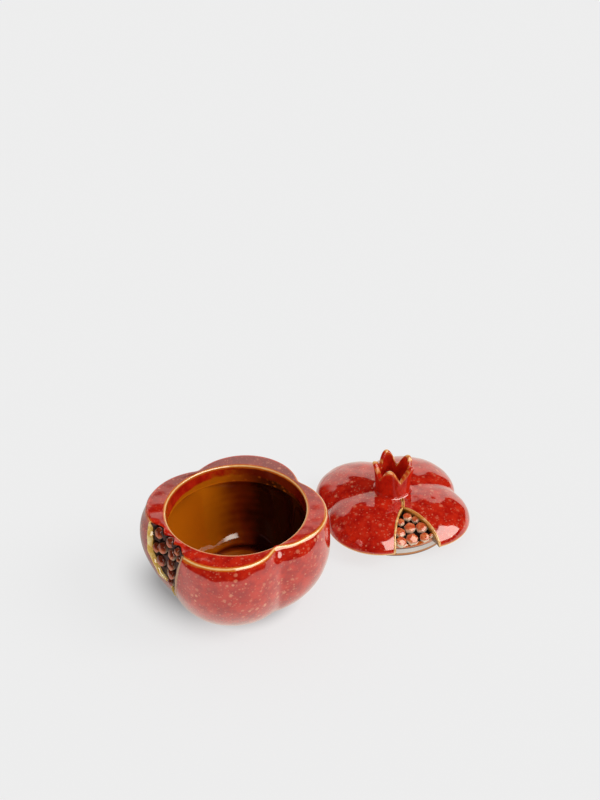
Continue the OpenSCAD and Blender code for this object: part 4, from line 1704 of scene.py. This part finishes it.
    def seed_place(self, number: int) -> tuple[float, float]:
        """Find a seed on the bed.

        Args:
            number: The seed, counted from 0.

        Returns:
            Its turn and radius.
        """
        out, across, _ = self.seeds[number]
        r = self.open_r + out * (self.bed_end_r - self.open_r)
        return self.split_turn + across * self.split_open(r, self.open_r), r

    def build_bed(self) -> None:
        """Make the dark slip of the lid's split, dented between the seeds."""
        spots = [self.seed_place(i) for i in range(len(self.seeds))]

        def place(s: float, t: float) -> Placed:
            """Find a point of the bed.

            Args:
                s: Share across.
                t: Share along.

            Returns:
                Place and marks.
            """
            r = self.open_r + 0.6 + (self.bed_end_r - 0.8 - self.open_r - 0.6) * t
            half = self.split_open(r, self.parted_r) - arc_angle(0.5, r)
            turn = self.split_middle(r) + half * (2 * s - 1)
            mound = max(bump(math.hypot(math.radians(turn - a) * r, r - b), 3.2) for a, b in spots)
            drop = 0.5 * self.bed_front(t)
            return polar(turn, r, self.bed_z(turn, r) - 0.35 + 0.5 * mound - drop), {}

        self.dress(sheet(48, 56, place, 0.6), "lid_split_bed", Slot.BED, 80.0)

    def build_lip(self, side: Side) -> None:
        """Make one rind lip of the lid's split, out to the lid's edge.

        Args:
            side: Side of the split.
        """
        end_turn = self.split_turn + side.value * self.split_open(PLAN.notch, self.parted_r)
        end_r = PLAN.reach_at(end_turn, PLAN.crease_soft) - 0.1
        lump_at = lumps(17 if side is Side.LEFT else 18, ((0.12, 23), (0.08, 47)))

        def place(s: float, around: float) -> Placed:
            """Find a point of the lip.

            Args:
                s: Share along.
                around: Turn around the bead.

            Returns:
                Place and marks.
            """
            r = self.start_r - 1.0 + (end_r - self.start_r + 1.0) * math.sin(HALF_PI * s)
            open_to, lump = self.split_open(r, self.parted_r), lump_at(s)
            w = min(self.lip_w * (1 + 0.5 * lump), math.radians(open_to) * r)
            middle = self.split_middle(r) + side.value * (open_to - arc_angle(w / 2 - 0.2, r))
            top = self.dome_z(middle, r, self.dome_soft) + self.lip_proud * (1 + lump)
            foot = self.ring_h + 0.2 if r > self.bed_end_r else self.bed_z(middle, r) - 0.7
            foot = min(foot, top - 0.5)
            flat, tall = oval(around)
            low = self.lip_low(tall) if flat * side.value < LIP_TURN else 0.0
            here = polar(middle + arc_angle(w * 0.62 * flat, r), r, (top + foot) / 2 + (top - foot) / 2 * tall)
            return here, {"low": low, "golden": 0.3 + 0.6 * self.lip_gold(tall), "warm": 1.0}

        self.dress(bead(*self.lip_cells, place), f"lid_lip_{side.name.lower()}", Slot.LIP, 70.0)

    def build(self) -> None:
        """Make all the lid's pieces."""
        self.build_shell()
        self.build_ring()
        self.build_bed()
        for side in Side:
            self.build_lip(side)
        self.build_seeds()
        Crown(self).build()


@dataclass
class Crown:
    """The calyx crown: a waisted tube that opens into pointed sepals, in millimetres."""

    lid: Lid
    height: float = 23.5
    tip_r: float = 13.0
    waist_r: float = 10.0
    wall_w: float = 2.6
    floor_t: float = 3.0
    fillet_at: float = 2.5
    fillet_w: float = 1.7
    fillet_h: float = 1.9
    ridge: float = 0.7
    sepals: int = 5
    sepal_turn: float = 185.0
    sepal_drops: tuple[float, ...] = (0.4, 0.5, 1.6, 0.5, 1.2)
    # Height of the notches as a share, and how blunt the tips are
    notch: float = 0.58
    blunt: float = 0.62
    glow_out: Fade = Fade(0.8, 0.2)
    glow_in: Fade = Fade(0.2, -0.2)
    columns: int = 180

    def out_r(self, z: float) -> float:
        """Radius of the outside at a height."""
        s = z / self.height
        return self.lid.crown_r * (1 - s) ** 2 + 2 * self.waist_r * s * (1 - s) + self.tip_r * s * s

    def wall(self, z: float) -> float:
        """Thickness of the wall at a height."""
        return self.wall_w + 0.5 * z / self.height

    def base(self, turn: float) -> float:
        """Height of the lid where the fillet meets it."""
        return self.lid.dome_z(turn, self.out_r(self.fillet_at) + self.fillet_w, self.lid.dome_soft) - 0.1

    def top(self, turn: float) -> float:
        """Height of the scalloped edge.

        Args:
            turn: Turn in degrees.

        Returns:
            The height above the seat.
        """
        off = (turn - self.sepal_turn) * self.sepals / 360.0
        point = smooth(1 - 2 * abs(off - round(off))) ** self.blunt
        drop = self.sepal_drops[int(round(off)) % self.sepals]
        return self.height * (self.notch + (1 - self.notch) * point) - point * drop

    def point(self, zone: Zone, a: float, turn: float) -> Placed:
        """Find a point of the crown.

        Args:
            zone: Zone of the ring.
            a: Share of the way along the zone, or angle on the tip.
            turn: Turn in degrees.

        Returns:
            Place and marks.
        """
        seat_z, high = self.lid.seat_z, self.top(turn) - 1.0
        ridge = 0.5 + 0.5 * cosd(self.sepals * (turn - self.sepal_turn))
        marks = {"bare_of_specks": 1.0, "matte": 0.55}
        if zone is Zone.BASE:
            return (0.0, 0.0, seat_z - 0.5), marks
        if zone is Zone.FILLET:
            marks["matte"] = 0.0
            r = self.out_r(self.fillet_at) + self.fillet_w * (1 - math.sin(HALF_PI * a))
            return polar(turn, r, self.base(turn) + self.fillet_h * (1 - math.cos(HALF_PI * a))), marks
        if zone is Zone.OUT:
            low = self.base(turn) + self.fillet_h - seat_z
            z, near = low + (high - low) * a, self.glow_out(a)
            marks |= {"matte": 0.85 - 0.5 * near, "halo": 0.5 * near}
            return polar(turn, self.out_r(z) + self.ridge * ridge * a, seat_z + z), marks
        if zone is Zone.TIP:
            patch = uneven(polar(turn, self.lid.crown_r, high), 2.6, 0.55)
            marks |= {"edge": 0.38 + patch, "halo": 0.6 + patch}
            w = self.wall(high)
            r = self.out_r(high) + self.ridge * ridge - w / 2 + w / 2 * math.cos(a)
            return polar(turn, r, seat_z + high + 1.25 * math.sin(a)), marks
        if zone is Zone.IN:
            z = high - (high - self.floor_t) * a
            marks["halo"] = 0.4 * self.glow_in(a)
            r = self.out_r(z) + self.ridge * ridge * (1 - a) - self.wall(z)
            return polar(turn, r, seat_z + z), marks
        r = self.out_r(self.floor_t) - self.wall(self.floor_t)
        return polar(turn, r * a, seat_z + self.floor_t - 0.4 * (1 - a)), marks

    def build(self) -> None:
        """Make the crown on its seat."""
        rows: list[tuple[Zone, float]] = [(Zone.BASE, 0.0)]
        rows += [(Zone.FILLET, i / 8) for i in range(9)]
        rows += [(Zone.OUT, i / 24) for i in range(25)]
        rows += [(Zone.TIP, math.pi * i / 8) for i in range(1, 8)]
        rows += [(Zone.IN, i / 18) for i in range(19)]
        rows += [(Zone.CUP, s) for s in (0.8, 0.5, 0.2, 0.0)]
        bm = turned(len(rows), self.columns, lambda row, turn: self.point(*rows[row], turn), SHELL_MARKS)
        self.lid.dress(bm, "crown", Slot.RED, 60.0)


@dataclass
class Studio:
    """Pale floor, soft light and the camera of the photographed view, in metres."""

    camera_at: Point = (0.0349, -0.4287, 0.4013)
    pitch: float = 32.63
    lens: float = 45.0
    sensor: float = 36.0
    floor_half: float = 12.0
    floor_glow: float = 0.715
    floor_grey: float = 0.14
    paper_end: float = 0.136
    pot_at: Point = (0.0, 0.0, 0.0)
    lid_at: Point = (0.092, 0.062, 0.0)
    shade_at: Point = (-0.005, 0.024, 0.0)
    shade_r: float = 0.072
    shade_depth: float = 2.3
    foot_shade: float = 0.55
    shade_most: float = 0.66
    sky: float = 0.72
    sun: float = 1.3
    sun_angle: float = 30.0
    sun_from: Point = (0.80, -0.10, 0.62)
    window: float = 5.5
    # Where the window fades in and out, as a turn from the front and as a height of its direction
    window_aside: tuple[tuple[float, float], ...] = ((0.24, 0.28), (1.70, 1.64))
    window_up: tuple[tuple[float, float], ...] = ((0.22, 0.26), (0.92, 0.89))
    backdrop: float = 0.9
    backdrop_from: tuple[float, float] = (-0.75, -0.55)
    backdrop_top: float = 0.618
    backdrop_step: float = 0.025
    # Fall of the backdrop's top with the turn from the back, and its height there
    backdrop_slope: tuple[float, float] = (-1.55, 1.12)
    paper: float = 0.85
    reflected: Colour = (1.0, 0.94, 0.84, 1.0)

    def build_floor(self) -> None:
        """Lay the plain pale floor, lit through so that its shadows stay light; its reflection ends early."""
        bm = bmesh.new()
        bmesh.ops.create_grid(bm, x_segments=1, y_segments=1, size=self.floor_half)
        floor = put("floor", mesh_of(bm, "floor"))
        material = bpy.data.materials.new("floor_paper")
        material.use_nodes = True
        t = Tree(material.node_tree)
        ray = t.add("ShaderNodeLightPath").outputs["Is Glossy Ray"]
        place = t.object_place()
        x, y, _ = t.add("ShaderNodeSeparateXYZ", {0: place}).outputs
        away = t.math("MINIMUM", t.distance(place, self.pot_at), t.distance(place, self.lid_at))
        ends = t.times(t.ramp(away, self.paper_end, self.paper_end + 0.008), t.ramp(y, 0.04, -0.04))
        shaded = t.times(t.ramp(x, -0.03, -0.07), t.ramp(y, -0.06, -0.02), 0.5)
        ends = t.times(ray, t.math("MAXIMUM", ends, shaded))
        lit = t.times(t.math("SUBTRACT", 1.0, ends), self.lit_share(t, place, x, y), self.floor_glow)
        grey = (self.floor_grey, self.floor_grey, self.floor_grey, 1.0)
        paper = t.add("ShaderNodeBsdfDiffuse", {"Color": t.mix(ends, grey, BLACK)})
        tint = t.mix(ray, WHITE, self.reflected)
        glow = t.add("ShaderNodeEmission", {"Color": tint, "Strength": lit})
        both = t.add("ShaderNodeAddShader", {0: paper.outputs[0], 1: glow.outputs[0]})
        t.add("ShaderNodeOutputMaterial", {"Surface": both.outputs[0]})
        floor.data.materials.append(material)

    def lit_share(self, t: Tree, place: Socket, x: Socket, y: Socket) -> Socket:
        """Share of its light that the floor keeps, less under the pot on the side away from the light.

        Args:
            t: The floor's tree.
            place: Object coordinates.
            x: Their first part.
            y: Their second part.

        Returns:
            The share, 1 in the open.
        """
        side = t.times(t.ramp(x, 0.02, -0.03), t.ramp(y, 0.045, 0.0))
        near = t.times(t.ramp(t.distance(place, self.shade_at), self.shade_r, 0.0), side, self.shade_depth)
        under = t.times(t.ramp(t.distance(place, self.pot_at), 0.040, 0.024), self.foot_shade)
        dark = t.math("MINIMUM", t.math("MAXIMUM", near, under), self.shade_most)
        return t.math("SUBTRACT", 1.0, dark)

    def build_sky(self) -> None:
        """Even light; for reflections a low pale backdrop behind, a dark room and one window in front."""
        world = bpy.data.worlds.new("studio")
        bpy.context.scene.world = world
        world.use_nodes = True
        t = Tree(world.node_tree)
        ray = t.add("ShaderNodeLightPath").outputs
        toward = t.add("ShaderNodeTexCoord").outputs["Generated"]
        east, north, up = t.add("ShaderNodeSeparateXYZ", {0: toward}).outputs
        behind = t.math("ARCTAN2", east, north)
        top = t.math("MULTIPLY_ADD", t.ramp(behind, -0.15, 0.0), self.backdrop_step, self.backdrop_top)
        slope = t.math("MULTIPLY_ADD", behind, *self.backdrop_slope)
        under = t.math("SUBTRACT", t.math("MINIMUM", top, slope), up)
        backdrop = t.times(t.ramp(behind, *self.backdrop_from), t.ramp(under, -0.012, 0.012), self.backdrop)
        aside = t.math("ARCTAN2", east, t.times(north, -1.0))
        window = t.times(t.band(aside, *self.window_aside), t.band(up, *self.window_up), self.window)
        room = t.math("ADD", window, backdrop)
        seen = t.blend(ray["Is Glossy Ray"], self.sky, room)
        seen = t.blend(ray["Is Camera Ray"], seen, self.paper)
        warm = t.mix(ray["Is Glossy Ray"], WHITE, self.reflected)
        shader = t.add("ShaderNodeBackground", {"Color": warm, "Strength": seen})
        t.add("ShaderNodeOutputWorld", {"Surface": shader.outputs[0]})

    def build_lights(self) -> None:
        """One broad soft light from high on the right, which gives no highlight."""
        light = bpy.data.lights.new("soft_key", "SUN")
        light.energy = self.sun
        light.angle = math.radians(self.sun_angle)
        lamp = put("soft_key", light)
        lamp.rotation_euler = Vector(self.sun_from).to_track_quat("Z", "Y").to_euler()
        lamp.visible_glossy = False

    def build_camera(self) -> None:
        """Set the camera of the photographed view, for an image of 600 by 800."""
        data = bpy.data.cameras.new("camera")
        data.sensor_fit = "VERTICAL"
        data.sensor_height = self.sensor
        data.lens = self.lens
        data.clip_start = 0.01
        camera = put("camera", data)
        camera.location = self.camera_at
        camera.rotation_euler = (math.radians(90 - self.pitch), 0.0, 0.0)
        bpy.context.scene.camera = camera

    def build(self) -> None:
        """Make the whole stage."""
        self.build_floor()
        self.build_sky()
        self.build_lights()
        self.build_camera()
        bpy.context.scene.view_settings.view_transform = "Standard"


def main() -> None:
    """Load the frame, dress the pot and the lid, and set the stage."""
    logging.basicConfig(level=logging.INFO, format="%(name)s: %(message)s")
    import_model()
    finishes = Finishes()
    Pot(finishes).build()
    Lid(finishes).build()
    Studio().build()
    bpy.context.view_layer.update()


if __name__ == "__main__":
    main()
